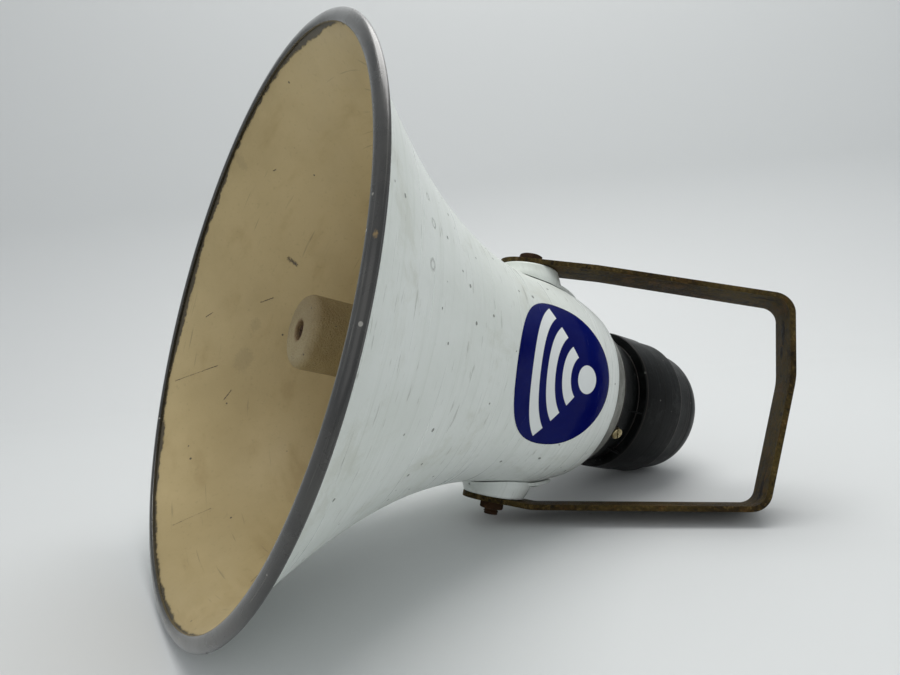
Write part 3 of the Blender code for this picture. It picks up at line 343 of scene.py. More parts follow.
    def blend(self, share, first, second):
        """A mix of two colours, each a plain one or from another node."""
        node = self.node("Mix", factor=share)
        node.data_type = "RGBA"
        for value, letter in ((first, "A"), (second, "B")):
            socket = next(s for s in node.inputs if s.name == letter and s.type == "RGBA")
            self.join(value if isinstance(value, bpy.types.NodeSocket) else (*value, 1.0), socket)
        return next(s for s in node.outputs if s.type == "RGBA")

    def base(self, pattern, low, high, first, second):
        """Starts the tone with two colours that change places along a pattern."""
        self.tone = self.blend(self.between(pattern, low, high), first, second)

    def over(self, share, colour):
        """Lays a colour over the tone, as strongly at each spot as the share says."""
        self.tone = self.blend(share, self.tone, colour)

    def tint(self, pattern, low, high, share, colour):
        """Lays a colour over the tone where a pattern goes from one limit to another."""
        self.over(self.between(pattern, low, high, 0.0, share), colour)

    def bump(self, height, depth):
        """Adds a height pattern to the relief, to a depth in metres."""
        node = self.node("Bump", height=height, distance=depth)
        if self.relief:
            self.tree.links.new(self.relief, node.inputs["Normal"])
        self.relief = node.outputs["Normal"]

    def finish(self, pattern=None, *limits):
        """Joins the tone and the relief, and the roughness where it follows a pattern."""
        self.join(self.tone, self.shader.inputs["Base Color"])
        self.join(self.relief, self.shader.inputs["Normal"])
        if pattern:
            self.join(self.between(pattern, *limits), self.shader.inputs["Roughness"])
        return self.material


def on_bell(depth, around, offset=0.0):
    """A place on the bell in the horn's frame, by depth and by degrees round from the top."""
    radius, place = bell_skin(depth, offset)
    turn = math.radians(around)
    return radius * math.sin(turn), place, radius * math.cos(turn)


def mix_white_enamel():
    """Brushed enamel gone slightly green-grey, with fine strokes, specks, dents and worn spots."""
    paint = Finish("white_enamel", roughness=0.4, specular=0.4)
    around = paint.streaks((7, 260, 7), 5.0, 0.65)
    along = paint.streaks((170, 9, 170), 4.0, 0.6)
    cloud = paint.noise(9.0, 5.0, 0.6)
    grime = paint.noise(26.0, 6.0, 0.7, 0.4)
    paint.base(cloud, 0.35, 0.7, (0.80, 0.835, 0.80), (0.72, 0.76, 0.71))
    paint.tint(around, 0.5, 0.78, 0.45, (0.60, 0.64, 0.58))
    paint.tint(grime, 0.52, 0.68, 0.45, (0.57, 0.59, 0.51))
    fine = paint.specks(150.0, 0.17, 0.30)
    large = paint.specks(46.0, 0.055, 0.16, (0.3, 0.1, 0.2))
    chips = paint.math("MAXIMUM", fine, large)
    for depth, turn, size in ((0.1304, 54.9, 0.0008), (0.1019, 75.9, 0.0008),
                              (0.0730, 69.5, 0.0007), (0.1437, 52.9, 0.0011),
                              (0.0560, 84.0, 0.0006), (0.0890, 58.0, 0.0006)):
        chip = paint.mark(on_bell(depth, turn), (size, size, size))
        chips = paint.math("MAXIMUM", chips, chip)
    paint.over(paint.times(chips, 0.8), (0.14, 0.145, 0.125))
    dents = []
    for depth, turn, size in ((0.0450, 76.7, 0.0030), (0.0460, 66.5, 0.0026),
                              (0.0423, 60.9, 0.0020)):
        outer = paint.mark(on_bell(depth, turn), (size, size, size), ragged=0.2)
        inner = paint.mark(on_bell(depth, turn), (size * 0.6,) * 3, ragged=0.2)
        dents.append(paint.math("SUBTRACT", outer, inner))
    dents = paint.strongest(dents)
    paint.over(paint.times(dents, 0.4), (0.28, 0.29, 0.27))
    scuffs = paint.streaks((60, 420, 60), 3.0, turn=(0.5, 0.2, 0.3))
    paint.tint(scuffs, 0.64, 0.72, 0.5, (0.38, 0.39, 0.35))
    strokes = paint.math("ADD", around, paint.times(along, 0.55))
    paint.bump(strokes, 0.00035)
    low = paint.math("ADD", chips, paint.times(dents, 0.8))
    paint.bump(paint.math("SUBTRACT", cloud, low), 0.0005)
    return paint.finish(around, 0.3, 0.75, 0.25, 0.46)


def mix_tan_enamel():
    """Sprayed tan enamel, scuffed and chipped, and worn to dark metal along the rim."""
    paint = Finish("tan_enamel", roughness=0.45, specular=0.35)
    cloud = paint.noise(11.0, 5.0, 0.6)
    smear = paint.streaks((10, 55, 26), 4.0, 0.6, turn=(0.0, 0.5, 0.2))
    paint.base(cloud, 0.3, 0.72, (0.56, 0.445, 0.232), (0.455, 0.355, 0.175))
    paint.tint(smear, 0.52, 0.78, 0.5, (0.36, 0.26, 0.115))
    grain = paint.noise(420.0, 3.0)
    paint.tint(grain, 0.58, 0.75, 0.25, (0.28, 0.22, 0.11))
    fine = paint.specks(115.0, 0.12, 0.26)
    paint.over(fine, (0.10, 0.085, 0.055))
    strokes = paint.streaks((22, 620, 22), 2.0, turn=(0.9, 0.0, 0.5))
    paint.tint(strokes, 0.68, 0.76, 0.45, (0.20, 0.16, 0.09))
    wear = []
    for start, end, width in (
            ((0.0505, 300.9), (0.0555, 300.1), 0.0024), ((0.0053, 254.8), (0.0268, 259.5), 0.00045),
            ((0.0430, 282.5), (0.0492, 285.4), 0.0006), ((0.0330, 248.4), (0.0362, 251.4), 0.0006),
            ((0.0096, 211.5), (0.0270, 211.5), 0.00035), ((0.0150, 273.8), (0.0180, 275.4), 0.0005),
            ((0.0235, 324.2), (0.0243, 325.0), 0.0007), ((0.0275, 168.0), (0.0303, 168.8), 0.0009)):
        places = [on_bell(*spot, -bell_wall) for spot in (start, end)]
        wear.append(paint.scratch(*places, width))
    wear = paint.strongest(wear)
    paint.over(paint.times(wear, 0.85), (0.060, 0.055, 0.060))
    smudge = []
    for depth, around, size in ((0.0068, 319.4, 0.006), (0.0406, 262.0, 0.009),
                                (0.0433, 274.6, 0.005)):
        spot = on_bell(depth, around, -bell_wall)
        smudge.append(paint.mark(spot, (size * 0.6, size, size), ragged=0.9))
    smudge = paint.strongest(smudge)
    paint.over(paint.times(smudge, 0.16), (0.18, 0.145, 0.085))
    ragged = paint.noise(130.0, 6.0, 0.8)
    spread = paint.noise(13.0, 2.0, vector=paint.mapped((0.7, 0.3, 0.1)))
    reach = paint.math("ADD", paint.times(ragged, 0.0050),
                       paint.times(spread, 0.0070))
    edge = paint.math("SUBTRACT", paint.split()["Y"], reach)
    bare = paint.between(edge, -0.0040, -0.0048)
    paint.over(paint.times(bare, 0.9), (0.055, 0.050, 0.040))
    orange_peel = paint.noise(700.0, 2.0)
    paint.bump(orange_peel, 0.00006)
    paint.bump(paint.math("SUBTRACT", cloud, paint.math("ADD", wear, bare)), 0.0003)
    return paint.finish(smear, 0.3, 0.7, 0.36, 0.55)


white_enamel = mix_white_enamel()
tan_enamel = mix_tan_enamel()

flare_steps = 46
shoulder_steps = 22
shoulder_start = bell_length - shoulder_length
depths = [shoulder_start * (i / flare_steps) ** 1.15 for i in range(flare_steps)]
depths += [shoulder_start + (bell_length - shoulder_start) * i / shoulder_steps
           for i in range(shoulder_steps)]
bell_outside = [bell_skin(depth, 0.0) for depth in depths]
rear_edge = 0.0005
bell_outside += [(rear_radius, bell_length - rear_edge), (rear_radius - 0.0004, bell_length)]
bell_inside = [(rear_radius - bell_wall, bell_length)]
bell_inside += [bell_skin(depth, -bell_wall) for depth in reversed(depths)]
bell_shell = turn_on_lathe("bell_shell", bell_outside + bell_inside, steps=224)
bell_shell.data.materials.append(white_enamel)
bell_shell.data.materials.append(tan_enamel)
to_horn = horn.inverted()
for face in bell_shell.data.polygons:
    middle = to_horn @ face.center
    outward = Vector((middle.x, 0.0, middle.z)).normalized()
    facing = to_horn.to_3x3() @ face.normal
    wall_middle = bell_radius(middle.y) - bell_wall * 0.6
    if facing.dot(outward) < 0 and math.hypot(middle.x, middle.z) < wall_middle + 0.0005:
        face.material_index = 1
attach(bell_shell, "horn")
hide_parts("bell")

# The rim trim.
# An extruded strip of dark grey rubber pushed over the bell's edge, with a thin inner lip. Its
# two ends meet on the right side, where a drop of old yellow glue holds them.
glue_turn = math.radians(83.0)
glue_radius = 0.1545
glue_spot = (glue_radius * math.sin(glue_turn), -0.0018, glue_radius * math.cos(glue_turn))


def mix_grey_rubber():
    """Dark, polished by handling, with lengthwise scuffs and pale nicks."""
    rubber = Finish("grey_rubber", roughness=0.28, specular=0.55)
    rubber.shader.inputs["Coat Weight"].default_value = 0.4
    rubber.shader.inputs["Coat Roughness"].default_value = 0.12
    cloud = rubber.noise(24.0, 5.0, 0.65)
    rubber.base(cloud, 0.35, 0.7, (0.017, 0.017, 0.016), (0.036, 0.035, 0.031))
    streak = rubber.streaks((14, 1400, 14), 4.0, 0.65)
    rubber.tint(streak, 0.56, 0.74, 0.6, (0.17, 0.165, 0.15))
    dust = rubber.specks(170.0, 0.18, 0.34)
    rubber.over(dust, (0.30, 0.29, 0.26))
    nicks = rubber.specks(60.0, 0.07, 0.12, (0.1, 0.2, 0.3))
    rubber.over(nicks, (0.02, 0.02, 0.02))
    nub = rubber.mark(glue_spot, (0.0016, 0.0016, 0.0022))
    rubber.over(nub, (0.26, 0.17, 0.06))
    rubber.bump(streak, 0.00010)
    rubber.bump(rubber.math("SUBTRACT", cloud, nicks), 0.00025)
    return rubber.finish(cloud, 0.3, 0.75, 0.16, 0.36)


grey_rubber = mix_grey_rubber()
slot_gap = 0.0003
lip_centre = Vector((lip_radius, 0.0))
across = Vector(bell_skin(0.0, 1.0)) - Vector(bell_skin(0.0, 0.0))
along = Vector((-across.y, across.x))
facing = math.atan2(across.y, across.x) - trim_lean
strip_half_width = trim_half_width - 0.00027
strip_half_depth = trim_half_depth - 0.0001
reach = math.hypot(strip_half_width * math.cos(facing), strip_half_depth * math.sin(facing))
start = math.atan2(strip_half_depth * math.sin(facing), strip_half_width * math.cos(facing))
outer_side = slot_gap
inner_side = -bell_wall - slot_gap
first = start + math.acos(outer_side / reach)
last = start + math.acos(inner_side / reach) - math.tau
oval_steps = 40
lean = Matrix.Rotation(trim_lean, 2)
trim_section = []
for i in range(oval_steps + 1):
    angle = first + (last - first) * i / oval_steps
    oval = Vector((strip_half_width * math.cos(angle), strip_half_depth * math.sin(angle)))
    trim_section.append(tuple(lip_centre + lean @ oval))
slot_floor = lip_centre - along * slot_gap
trim_section += [tuple(slot_floor + across * inner_side), tuple(slot_floor + across * outer_side)]
rim_strip = turn_on_lathe("rim_strip", trim_section, steps=256)
coat(rim_strip, grey_rubber)
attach(rim_strip, "horn")
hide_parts("rim_trim")

# The reflector.
# The inner horn that folds the sound path. Its closed front is the nose in the mouth, moulded
# with a rounded edge and a dimple for its screw, and painted the bell's tan.
nose_depth = 0.0338
nose_radius = 0.0206
nose_rounding = 0.0052
nose_length = 0.022
reflector_end = 0.185
reflector_radius = 0.0455
reflector_wall = 0.0013
dimple_radius = 0.00535
dimple_floor = nose_depth + 0.004
screw_hole = 0.0025


def reflector_outline(depth):
    start = nose_depth + nose_length
    share = max(0.0, (depth - start) / (reflector_end - start))
    return nose_radius + (reflector_radius - nose_radius) * share ** 1.7


def mix_nose_enamel():
    """The same tan, cast rougher, with a grainy speckle and dirt round the dimple."""
    paint = Finish("nose_enamel", roughness=0.55)
    cloud = paint.noise(34.0, 5.0, 0.6)
    grain = paint.noise(950.0, 3.0, 0.7)
    paint.base(cloud, 0.3, 0.7, (0.36, 0.29, 0.155), (0.26, 0.195, 0.092))
    paint.tint(grain, 0.5, 0.75, 0.55, (0.18, 0.14, 0.075))
    paint.over(paint.specks(260.0, 0.16, 0.35), (0.09, 0.07, 0.045))
    parts = paint.split()
    squares = [paint.times(parts[axis], parts[axis]) for axis in ("X", "Z")]
    radius = paint.math("SQRT", paint.math("ADD", *squares))
    ragged = paint.times(paint.noise(380.0, 3.0), 0.003)
    dirt = paint.between(paint.math("SUBTRACT", radius, ragged), 0.0062, 0.0034)
    paint.over(paint.times(dirt, 0.8), (0.16, 0.085, 0.028))
    paint.bump(grain, 0.0008)
    paint.bump(cloud, 0.0006)
    return paint.finish(grain, 0.3, 0.7, 0.45, 0.62)


nose_enamel = mix_nose_enamel()
nose_corner = (nose_radius - nose_rounding, nose_depth + nose_rounding)
shank_steps = 24
shank_start = nose_depth + nose_length
shank = [shank_start + (reflector_end - shank_start) * i / shank_steps
         for i in range(shank_steps + 1)]
section = [(reflector_outline(depth), depth) for depth in reversed(shank)]
section += corner(nose_corner, nose_rounding, 0, -90, 12)
dimple_edge = 0.0012
dimple_corner = (dimple_radius + dimple_edge, nose_depth + dimple_edge)
section += corner(dimple_corner, dimple_edge, -90, -180, 5)
section += [(dimple_radius, dimple_floor), (screw_hole, dimple_floor)]
section += [(screw_hole, dimple_floor + reflector_wall)]
section += [(dimple_radius + reflector_wall, dimple_floor + reflector_wall)]
section += [(dimple_radius + reflector_wall, nose_depth + reflector_wall)]
section += corner(nose_corner, nose_rounding - reflector_wall, -90, 0, 8)
section += [(reflector_outline(depth) - reflector_wall, depth) for depth in shank]
reflector_horn = turn_on_lathe("reflector_horn", section, steps=128)
coat(reflector_horn, nose_enamel)
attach(reflector_horn, "horn")
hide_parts("reflector")

# The emblem on the neck.
# A round printed film 82 mm across, stuck on the right side of the neck. It shows a plain sound
# sign: a white dot with three waves going out of it towards the mouth, on a dark blue field.
emblem_depth = 0.165
emblem_angle = math.radians(88.0)
emblem_half_depth = 0.0395
emblem_half_angle = math.radians(36.3)
film_lift = 0.00008
film_thickness = 0.00012


def mix_emblem_ink():
    """Glossy printed film, drawn from the distance and direction to the wave's centre."""
    ink = Finish("emblem_ink", roughness=0.2, specular=0.06)
    source = 0.46
    layout = ink.node("UVMap")
    layout.uv_map = "emblem_layout"
    centred = ink.mapped((-0.5, -0.5, 0.0), vector=layout.outputs["UV"])
    parts = ink.split(ink.mapped(scale=(2.0, 2.0, 1.0), vector=centred))
    right = ink.math("SUBTRACT", parts["X"], source)
    over = parts["Y"]
    squares = [ink.times(part, part) for part in (right, over)]
    away = ink.math("SQRT", ink.math("ADD", *squares))
    direction = ink.math("ARCTAN2", over, ink.times(right, -1.0))
    direction = ink.math("ABSOLUTE", direction)
    sector = ink.between(direction, math.radians(52.6), math.radians(52.0))
    waves = []
    for radius in (0.42, 0.73, 1.04):
        offset = ink.math("ABSOLUTE", ink.math("SUBTRACT", away, radius))
        waves.append(ink.between(offset, 0.088, 0.080))
    waves = ink.times(ink.strongest(waves), sector)
    dot = ink.between(away, 0.198, 0.190)
    scuffs = ink.streaks((60, 500, 60), 3.0)
    cloud = ink.noise(40.0, vector=ink.place)
    ink.base(cloud, 0.3, 0.7, (0.001, 0.003, 0.085), (0.003, 0.007, 0.105))
    ink.over(ink.math("MAXIMUM", waves, dot), (0.78, 0.81, 0.80))
    ink.tint(scuffs, 0.70, 0.80, 0.15, (0.15, 0.18, 0.36))
    ink.bump(ink.noise(180.0, 3.0, vector=ink.place), 0.00010)
    return ink.finish(scuffs, 0.4, 0.8, 0.13, 0.30)


def disc_point(x, y):
    """Where a point of a square from -1 to 1 goes when the square is pressed to a disc."""
    return x * math.sqrt(1.0 - y * y / 2.0), y * math.sqrt(1.0 - x * x / 2.0)


emblem = begin("emblem", bpy.ops.mesh.primitive_grid_add, x_subdivisions=72, y_subdivisions=72,
               size=2.0)
layout = emblem.data.uv_layers.new(name="emblem_layout")
for vertex in emblem.data.vertices:
    x, y = vertex.co.x, vertex.co.y
    vertex.co.x, vertex.co.y = disc_point(x, y)
for loop in emblem.data.loops:
    spot = emblem.data.vertices[loop.vertex_index].co
    layout.data[loop.index].uv = (0.5 + spot.x / 2.0, 0.5 + spot.y / 2.0)
for vertex in emblem.data.vertices:
    depth = emblem_depth + emblem_half_depth * vertex.co.x
    around = emblem_angle - emblem_half_angle * vertex.co.y
    radius, place = bell_skin(depth, film_lift)
    vertex.co = horn @ Vector((radius * math.sin(around), place, radius * math.cos(around)))
film = emblem.modifiers.new("film", "SOLIDIFY")
film.thickness = film_thickness
film.offset = 1.0
bpy.ops.object.modifier_apply(modifier="film")
bpy.ops.object.shade_smooth()
coat(emblem, mix_emblem_ink())
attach(emblem, "horn")

# The bosses and their rivets.
# Two cast pads that carry the yoke, each with an oval flange curved to the neck and held by two
# rivets. They were painted over with the bell, and each flange stands a little off the neck.
fit_gap = 0.0003
boss_height = 0.0079
pad_height = neck_radius + boss_height
pod_top_radius = 0.0198
pod_base_radius = 0.0228
pod_rounding = 0.0020
pod_fillet = 0.0012
fillet_height = 0.0030
flange_offset = 0.0095
flange_half_length = 0.0310
flange_half_width = 0.0200
flange_thickness = 0.0020
flange_standoff = 0.0008
bolt_radius = 0.00476
bolt_bore = bolt_radius + fit_gap
bore_chamfer = 0.0004
pod_root = 0.0045
rivet_setback = 0.0255
rivet_spread = 0.0075
rivet_radius = 0.0030
rivet_edge = 0.0002
rivet_bulge = 0.0014
rivet_shank = 0.0016
rivet_reach = 0.0048


def facing_out(outward, depth, radius=0.0):
    """A frame off the bell's axis, at a depth and a radius, with +Y pointing straight out."""
    back = Vector((0.0, 1.0, 0.0))
    made = Matrix((outward.cross(back), outward, back)).transposed().to_4x4()
    made.translation = back * depth + outward * radius
    return horn @ made


def side_matrix(side):
    """A frame on the bolt axis for the upper or the lower side."""
    return facing_out(Vector((0.0, 0.0, side)), bolt_depth)


def ease_edges(piece, width, segments, sharp=30.0):
    """Rounds the edges of a piece that are sharper than an angle in degrees."""
    edge = piece.modifiers.new("edge", "BEVEL")
    edge.width = width
    edge.segments = segments
    edge.angle_limit = math.radians(sharp)
    bpy.ops.object.modifier_apply(modifier="edge")


def cast_flange(name, side):
    """The oval plate, bent to the neck, with a rounded edge; its hole for the bolt is drilled later."""
    flange = begin(name, bpy.ops.mesh.primitive_grid_add, x_subdivisions=56, y_subdivisions=56,
                   size=2.0)
    for vertex in flange.data.vertices:
        wide, long = disc_point(vertex.co.x, vertex.co.y)
        over = flange_half_width * wide
        depth = bolt_depth + flange_offset + flange_half_length * long
        radius = bell_radius(depth) + flange_standoff
        height = math.sqrt(radius ** 2 - over ** 2)
        vertex.co = horn @ Vector((over, depth, side * height))
    plate = flange.modifiers.new("plate", "SOLIDIFY")
    plate.thickness = flange_thickness
    plate.offset = side
    bpy.ops.object.modifier_apply(modifier="plate")
    ease_edges(flange, 0.0005, 2, 50)
    bpy.ops.object.mode_set(mode="EDIT")
    bpy.ops.mesh.select_all(action="SELECT")
    bpy.ops.mesh.normals_make_consistent(inside=False)
    bpy.ops.object.mode_set(mode="OBJECT")
    return flange


def pick(piece):
    """Selects one piece alone for the next step."""
    bpy.ops.object.select_all(action="DESELECT")
    bpy.context.view_layer.objects.active = piece
    piece.select_set(True)


def unite(piece, other, operation="UNION"):
    """Joins or cuts a piece with another closed shape, which is used up."""
    step = piece.modifiers.new("step", "BOOLEAN")
    step.operation = operation
    step.solver = "EXACT"
    step.object = other
    pick(piece)
    bpy.ops.object.modifier_apply(modifier="step")
    bpy.data.objects.remove(other)


def drill(piece, radius, low, high, place, steps=48):
    """Drills a round hole through a piece, from one height on its axis to another."""
    section = [(0.0, low), (radius, low), (radius, high), (0.0, high)]
    unite(piece, turn_on_lathe("drill", section, steps=steps, place=place), "DIFFERENCE")


def pod_section():
    """The pad's side with a small fillet where it meets the flange, cut short under it."""
    pod_corner = (pod_top_radius - pod_rounding, pad_height - pod_rounding)
    points = [(bolt_bore, pad_height - bore_chamfer), (bolt_bore + bore_chamfer, pad_height)]
    points += list(reversed(corner(pod_corner, pod_rounding, 0, 90, 8)))
    foot = neck_radius - flange_standoff
    points += [(pod_base_radius - pod_fillet, foot + fillet_height), (pod_base_radius, foot)]
    return points + [(pod_base_radius, foot - pod_root), (bolt_bore, foot - pod_root)]


for side, word in ((1.0, "upper"), (-1.0, "lower")):
    boss = cast_flange(f"boss_casting_{word}", side)
    pod = turn_on_lathe("pod", pod_section(), steps=96, place=side_matrix(side), crease=40.0)
    neck_section = [(0.0, bolt_depth - 0.03)]
    neck_section += [(bell_radius(bolt_depth + d) + flange_standoff * 0.75, bolt_depth + d)
                     for d in (-0.03, -0.02, -0.01, 0.0, 0.01, 0.02, 0.03)]
    neck_section.append((0.0, bolt_depth + 0.03))
    unite(pod, turn_on_lathe("neck_cut", neck_section, steps=224), "DIFFERENCE")
    unite(boss, pod)
    drill(boss, bolt_bore, 0.04, pad_height + 0.01, side_matrix(side))
    smooth(38)
    coat(boss, white_enamel)
    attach(boss, "horn")
    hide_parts(f"boss_{word}")
    rivet_depth = bolt_depth + rivet_setback
    skin_radius, skin_depth = bell_skin(rivet_depth, flange_standoff + flange_thickness)
    step_out = Vector(bell_skin(rivet_depth, 1.0)) - Vector(bell_skin(rivet_depth, 0.0))
    for hand, sign in (("left", -1.0), ("right", 1.0)):
        turn = sign * math.asin(rivet_spread / bell_radius(rivet_depth))
        to_side, to_top = math.sin(turn), side * math.cos(turn)
        spot = Vector((skin_radius * to_side, skin_depth, skin_radius * to_top))
        outward = Vector((step_out.x * to_side, step_out.y, step_out.x * to_top))
        seat = Matrix.Translation(spot) @ outward.to_track_quat("Y", "Z").to_matrix().to_4x4()
        dome = [(0.0, rivet_edge + rivet_bulge)]
        dome += corner((0.0, rivet_edge), rivet_radius, 75, 0, 5, rivet_bulge)
        dome += [(rivet_radius, 0.0), (rivet_shank, 0.0), (rivet_shank, -rivet_reach),
                 (0.0, -rivet_reach)]
        rivet = turn_on_lathe(f"rivet_{word}_{hand}_dome", dome, steps=32, place=horn @ seat)
        coat(rivet, white_enamel)
        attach(rivet, "horn")
        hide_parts(f"rivet_{word}_{hand}")

# The yoke.
# Flat mild-steel strap, 31.75 by 3.2 mm, bent to a U with rounded tips. The paint has long gone,
# and an even olive-brown rust covers it, with a pale painted highlight along its edges.
strap_half = 0.03175 / 2
strap_thickness = 0.0032
strap_outer = pad_height + fit_gap + strap_thickness
strap_tip = 0.0195
yoke_reach = 0.1650
yoke_turn = math.radians(-46.0)
yoke_corners = [(0.0, strap_outer), (0.0450, strap_outer),
                (yoke_reach - 0.0048, strap_outer - 0.0055), (yoke_reach, 0.0240),
                (yoke_reach - 0.0071, -strap_outer + 0.0243),
                (0.0260, -strap_outer), (0.0, -strap_outer)]
yoke_radii = [0.0, 0.06, 0.0125, 0.05, 0.0125, 0.02, 0.0]


def bent_line(corners, radii, steps):
    """A line through the corners with an arc at each bend."""
    line = [Vector(corners[0])]
    for i in range(1, len(corners) - 1):
        point = Vector(corners[i])
        before = (Vector(corners[i - 1]) - point).normalized()
        after = (Vector(corners[i + 1]) - point).normalized()
        bend = math.pi - before.angle(after)
        run = radii[i] * math.tan(bend / 2)
        middle = point + (before + after).normalized() * radii[i] / math.cos(bend / 2)
        arm = point + before * run - middle
        sweep = arm.angle_signed(point + after * run - middle)
        count = max(3, round(steps * bend / (math.pi / 2)))
        for j in range(count + 1):
            line.append(middle + Matrix.Rotation(-sweep * j / count, 2) @ arm)
    line.append(Vector(corners[-1]))
    return line


def mix_rust():
    """Old even rust in olive and dark brown, with orange pits, dark stains and painted edge highlights."""
    rust = Finish("rusty_steel", roughness=0.7, metallic=0.1, specular=0.12)
    cloud = rust.noise(22.0, 6.0, 0.65)
    patch = rust.noise(75.0, 7.0, 0.72, 0.6, vector=rust.mapped((0.2, 0.1, 0.4)))
    pits = rust.noise(420.0, 5.0, 0.75)
    rust.base(cloud, 0.38, 0.62, (0.032, 0.020, 0.0055), (0.074, 0.052, 0.015))
    rust.tint(patch, 0.52, 0.66, 0.7, (0.105, 0.054, 0.015))
    rust.tint(patch, 0.45, 0.36, 0.9, (0.012, 0.008, 0.006))
    rust.tint(pits, 0.52, 0.64, 0.65, (0.160, 0.110, 0.040))
    rust.tint(pits, 0.46, 0.37, 0.8, (0.010, 0.007, 0.005))
    yoke_space = rust.seen_from(to_yoke)
    # Painted highlight: a thin pale line along both edges of the strap, made ragged by the patch pattern.
    wander = rust.times(patch, 0.0022)
    across = rust.math("ABSOLUTE", rust.split(yoke_space)["X"])
    near = rust.math("ADD", across, wander)
    near = rust.between(near, strap_half + 0.0003, strap_half + 0.0009)
    face = rust.between(across, strap_half, strap_half - 0.0004)
    edge = rust.times(rust.times(near, face), 0.75)
    rust.over(edge, (0.15, 0.105, 0.050))
    for place, size in (((0.001, 0.1588, 0.052), (0.0040, 0.0050, 0.0085)),
                        ((-0.003, 0.1594, 0.041), (0.0030, 0.0050, 0.0040)),
                        ((0.002, 0.1555, -0.043), (0.0035, 0.0050, 0.0095))):
        stain = rust.mark(place, size, ragged=0.9, vector=yoke_space)
        rust.over(rust.times(stain, 0.9), (0.006, 0.004, 0.003))
    rust.bump(pits, 0.0011)
    rust.bump(patch, 0.0014)
    return rust.finish(pits, 0.3, 0.7, 0.55, 0.85)


to_yoke = horn @ Matrix.Translation((0, bolt_depth, 0)) @ Matrix.Rotation(yoke_turn, 4, "Z")
rusty_steel = mix_rust()
tip_centre = strap_half - strap_tip
tip_steps = 14
longest_piece = 0.006
tip = [(tip_centre, strap_half)]
for i in range(1, tip_steps + 1):
    angle = math.radians(90 * i / (tip_steps + 0.4))
    tip.append((tip_centre - strap_half * math.sin(angle), strap_half * math.cos(angle)))
stations = [((reach_in, strap_outer), half) for reach_in, half in reversed(tip)]
line = bent_line(yoke_corners, yoke_radii, 16)
for here, there in zip(line, line[1:]):
    pieces = max(1, round((there - here).length / longest_piece))
    stations += [(tuple(here.lerp(there, k / pieces)), strap_half) for k in range(pieces)]
stations.append((tuple(line[-1]), strap_half))
stations += [((reach_in, -strap_outer), half) for reach_in, half in tip]
strap = begin("yoke_strap", bpy.ops.mesh.primitive_plane_add, size=0.01)
bpy.ops.object.mode_set(mode="EDIT")
bpy.ops.mesh.delete(type="ONLY_FACE")
shape = bmesh.from_edit_mesh(strap.data)
shape.verts.ensure_lookup_table()
bmesh.ops.delete(shape, geom=shape.verts[2:], context="VERTS")
shape.verts.ensure_lookup_table()
(first_y, first_z), first_half = stations[0]
shape.verts[0].co = (-first_half, first_y, first_z)
shape.verts[1].co = (first_half, first_y, first_z)
bmesh.update_edit_mesh(strap.data)
bpy.ops.mesh.select_all(action="SELECT")
for ((here_y, here_z), here_half), ((there_y, there_z), there_half) in zip(stations, stations[1:]):
    move = (0.0, there_y - here_y, there_z - here_z)
    bpy.ops.mesh.extrude_edges_move(TRANSFORM_OT_translate={"value": move})
    if abs(there_half - here_half) > 1e-7:
        bpy.ops.transform.resize(value=(there_half / here_half, 1.0, 1.0),
                                 center_override=(0.0, there_y, there_z))
bpy.ops.mesh.select_all(action="SELECT")
bpy.ops.mesh.remove_doubles(threshold=weld)
bpy.ops.mesh.normals_make_consistent(inside=False)
bpy.ops.object.mode_set(mode="OBJECT")
skin = strap.modifiers.new("skin", "SOLIDIFY")
skin.thickness = strap_thickness
skin.offset = -1.0
skin.use_even_offset = True
bpy.ops.object.modifier_apply(modifier="skin")
settle(strap, to_yoke)
for side in (1.0, -1.0):
    drill(strap, bolt_radius + 0.0005, 0.05, 0.1, side_matrix(side))
ease_edges(strap, 0.00055, 3, 50)
smooth(40)
coat(strap, rusty_steel)
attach(strap, "yoke")
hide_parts("yoke")

# The bolt, the stud and its nut.
# A hexagon-headed bolt goes into the upper boss. The lower boss has a stud with a nut, whose
# thread stands out of it. All are rusted darker than the strap.
hex_radius = 0.00825
head_height = 0.0058
nut_height = 0.0050
stud_proud = 0.0034
seat_height = strap_outer + fit_gap
shank_end = neck_radius + 2 * flange_standoff
thread_pitch = 0.0016
thread_depth = 0.0007
rod_chamfer = 0.0006
crown_share = 0.80
cone_share = 0.93


def mix_dark_rust():
    """Flaking dark brown rust, rougher than the strap's."""
    rust = Finish("dark_rust", roughness=0.8, metallic=0.1, specular=0.12)
    flakes = rust.noise(260.0, 6.0, 0.75, 0.4)
    cloud = rust.noise(90.0, 5.0, 0.6)
    rust.base(cloud, 0.3, 0.7, (0.034, 0.020, 0.012), (0.070, 0.036, 0.018))
    rust.tint(flakes, 0.58, 0.75, 0.7, (0.19, 0.105, 0.05))
    rust.tint(flakes, 0.4, 0.28, 0.8, (0.012, 0.009, 0.008))
    rust.bump(flakes, 0.0008)
    return rust.finish(flakes, 0.3, 0.7, 0.65, 0.9)


dark_rust = mix_dark_rust()


def hexagon(name, bottom, top, place, turn):
    """A hexagonal prism with its outer corners turned down to a cone, as on a real head."""
    prism = begin(name, bpy.ops.mesh.primitive_cylinder_add, vertices=6, radius=hex_radius,
                  depth=top - bottom)
    upright = Matrix.Rotation(math.radians(-90), 4, "X") @ Matrix.Rotation(turn, 4, "Z")
    settle(prism, place @ Matrix.Translation((0, (top + bottom) / 2, 0)) @ upright)
    flat = hex_radius * math.cos(math.radians(30))
    drop = (hex_radius - flat * cone_share) * math.tan(math.radians(30))
    outside = hex_radius + 0.0002
    section = [(0.0, top + 0.0002), (flat * crown_share, top), (flat * cone_share, top - 0.0002),
               (outside, top - drop - 0.0003), (outside, bottom), (0.0, bottom)]
    unite(prism, turn_on_lathe("turned", section, steps=72, place=place), "INTERSECT")
    return prism


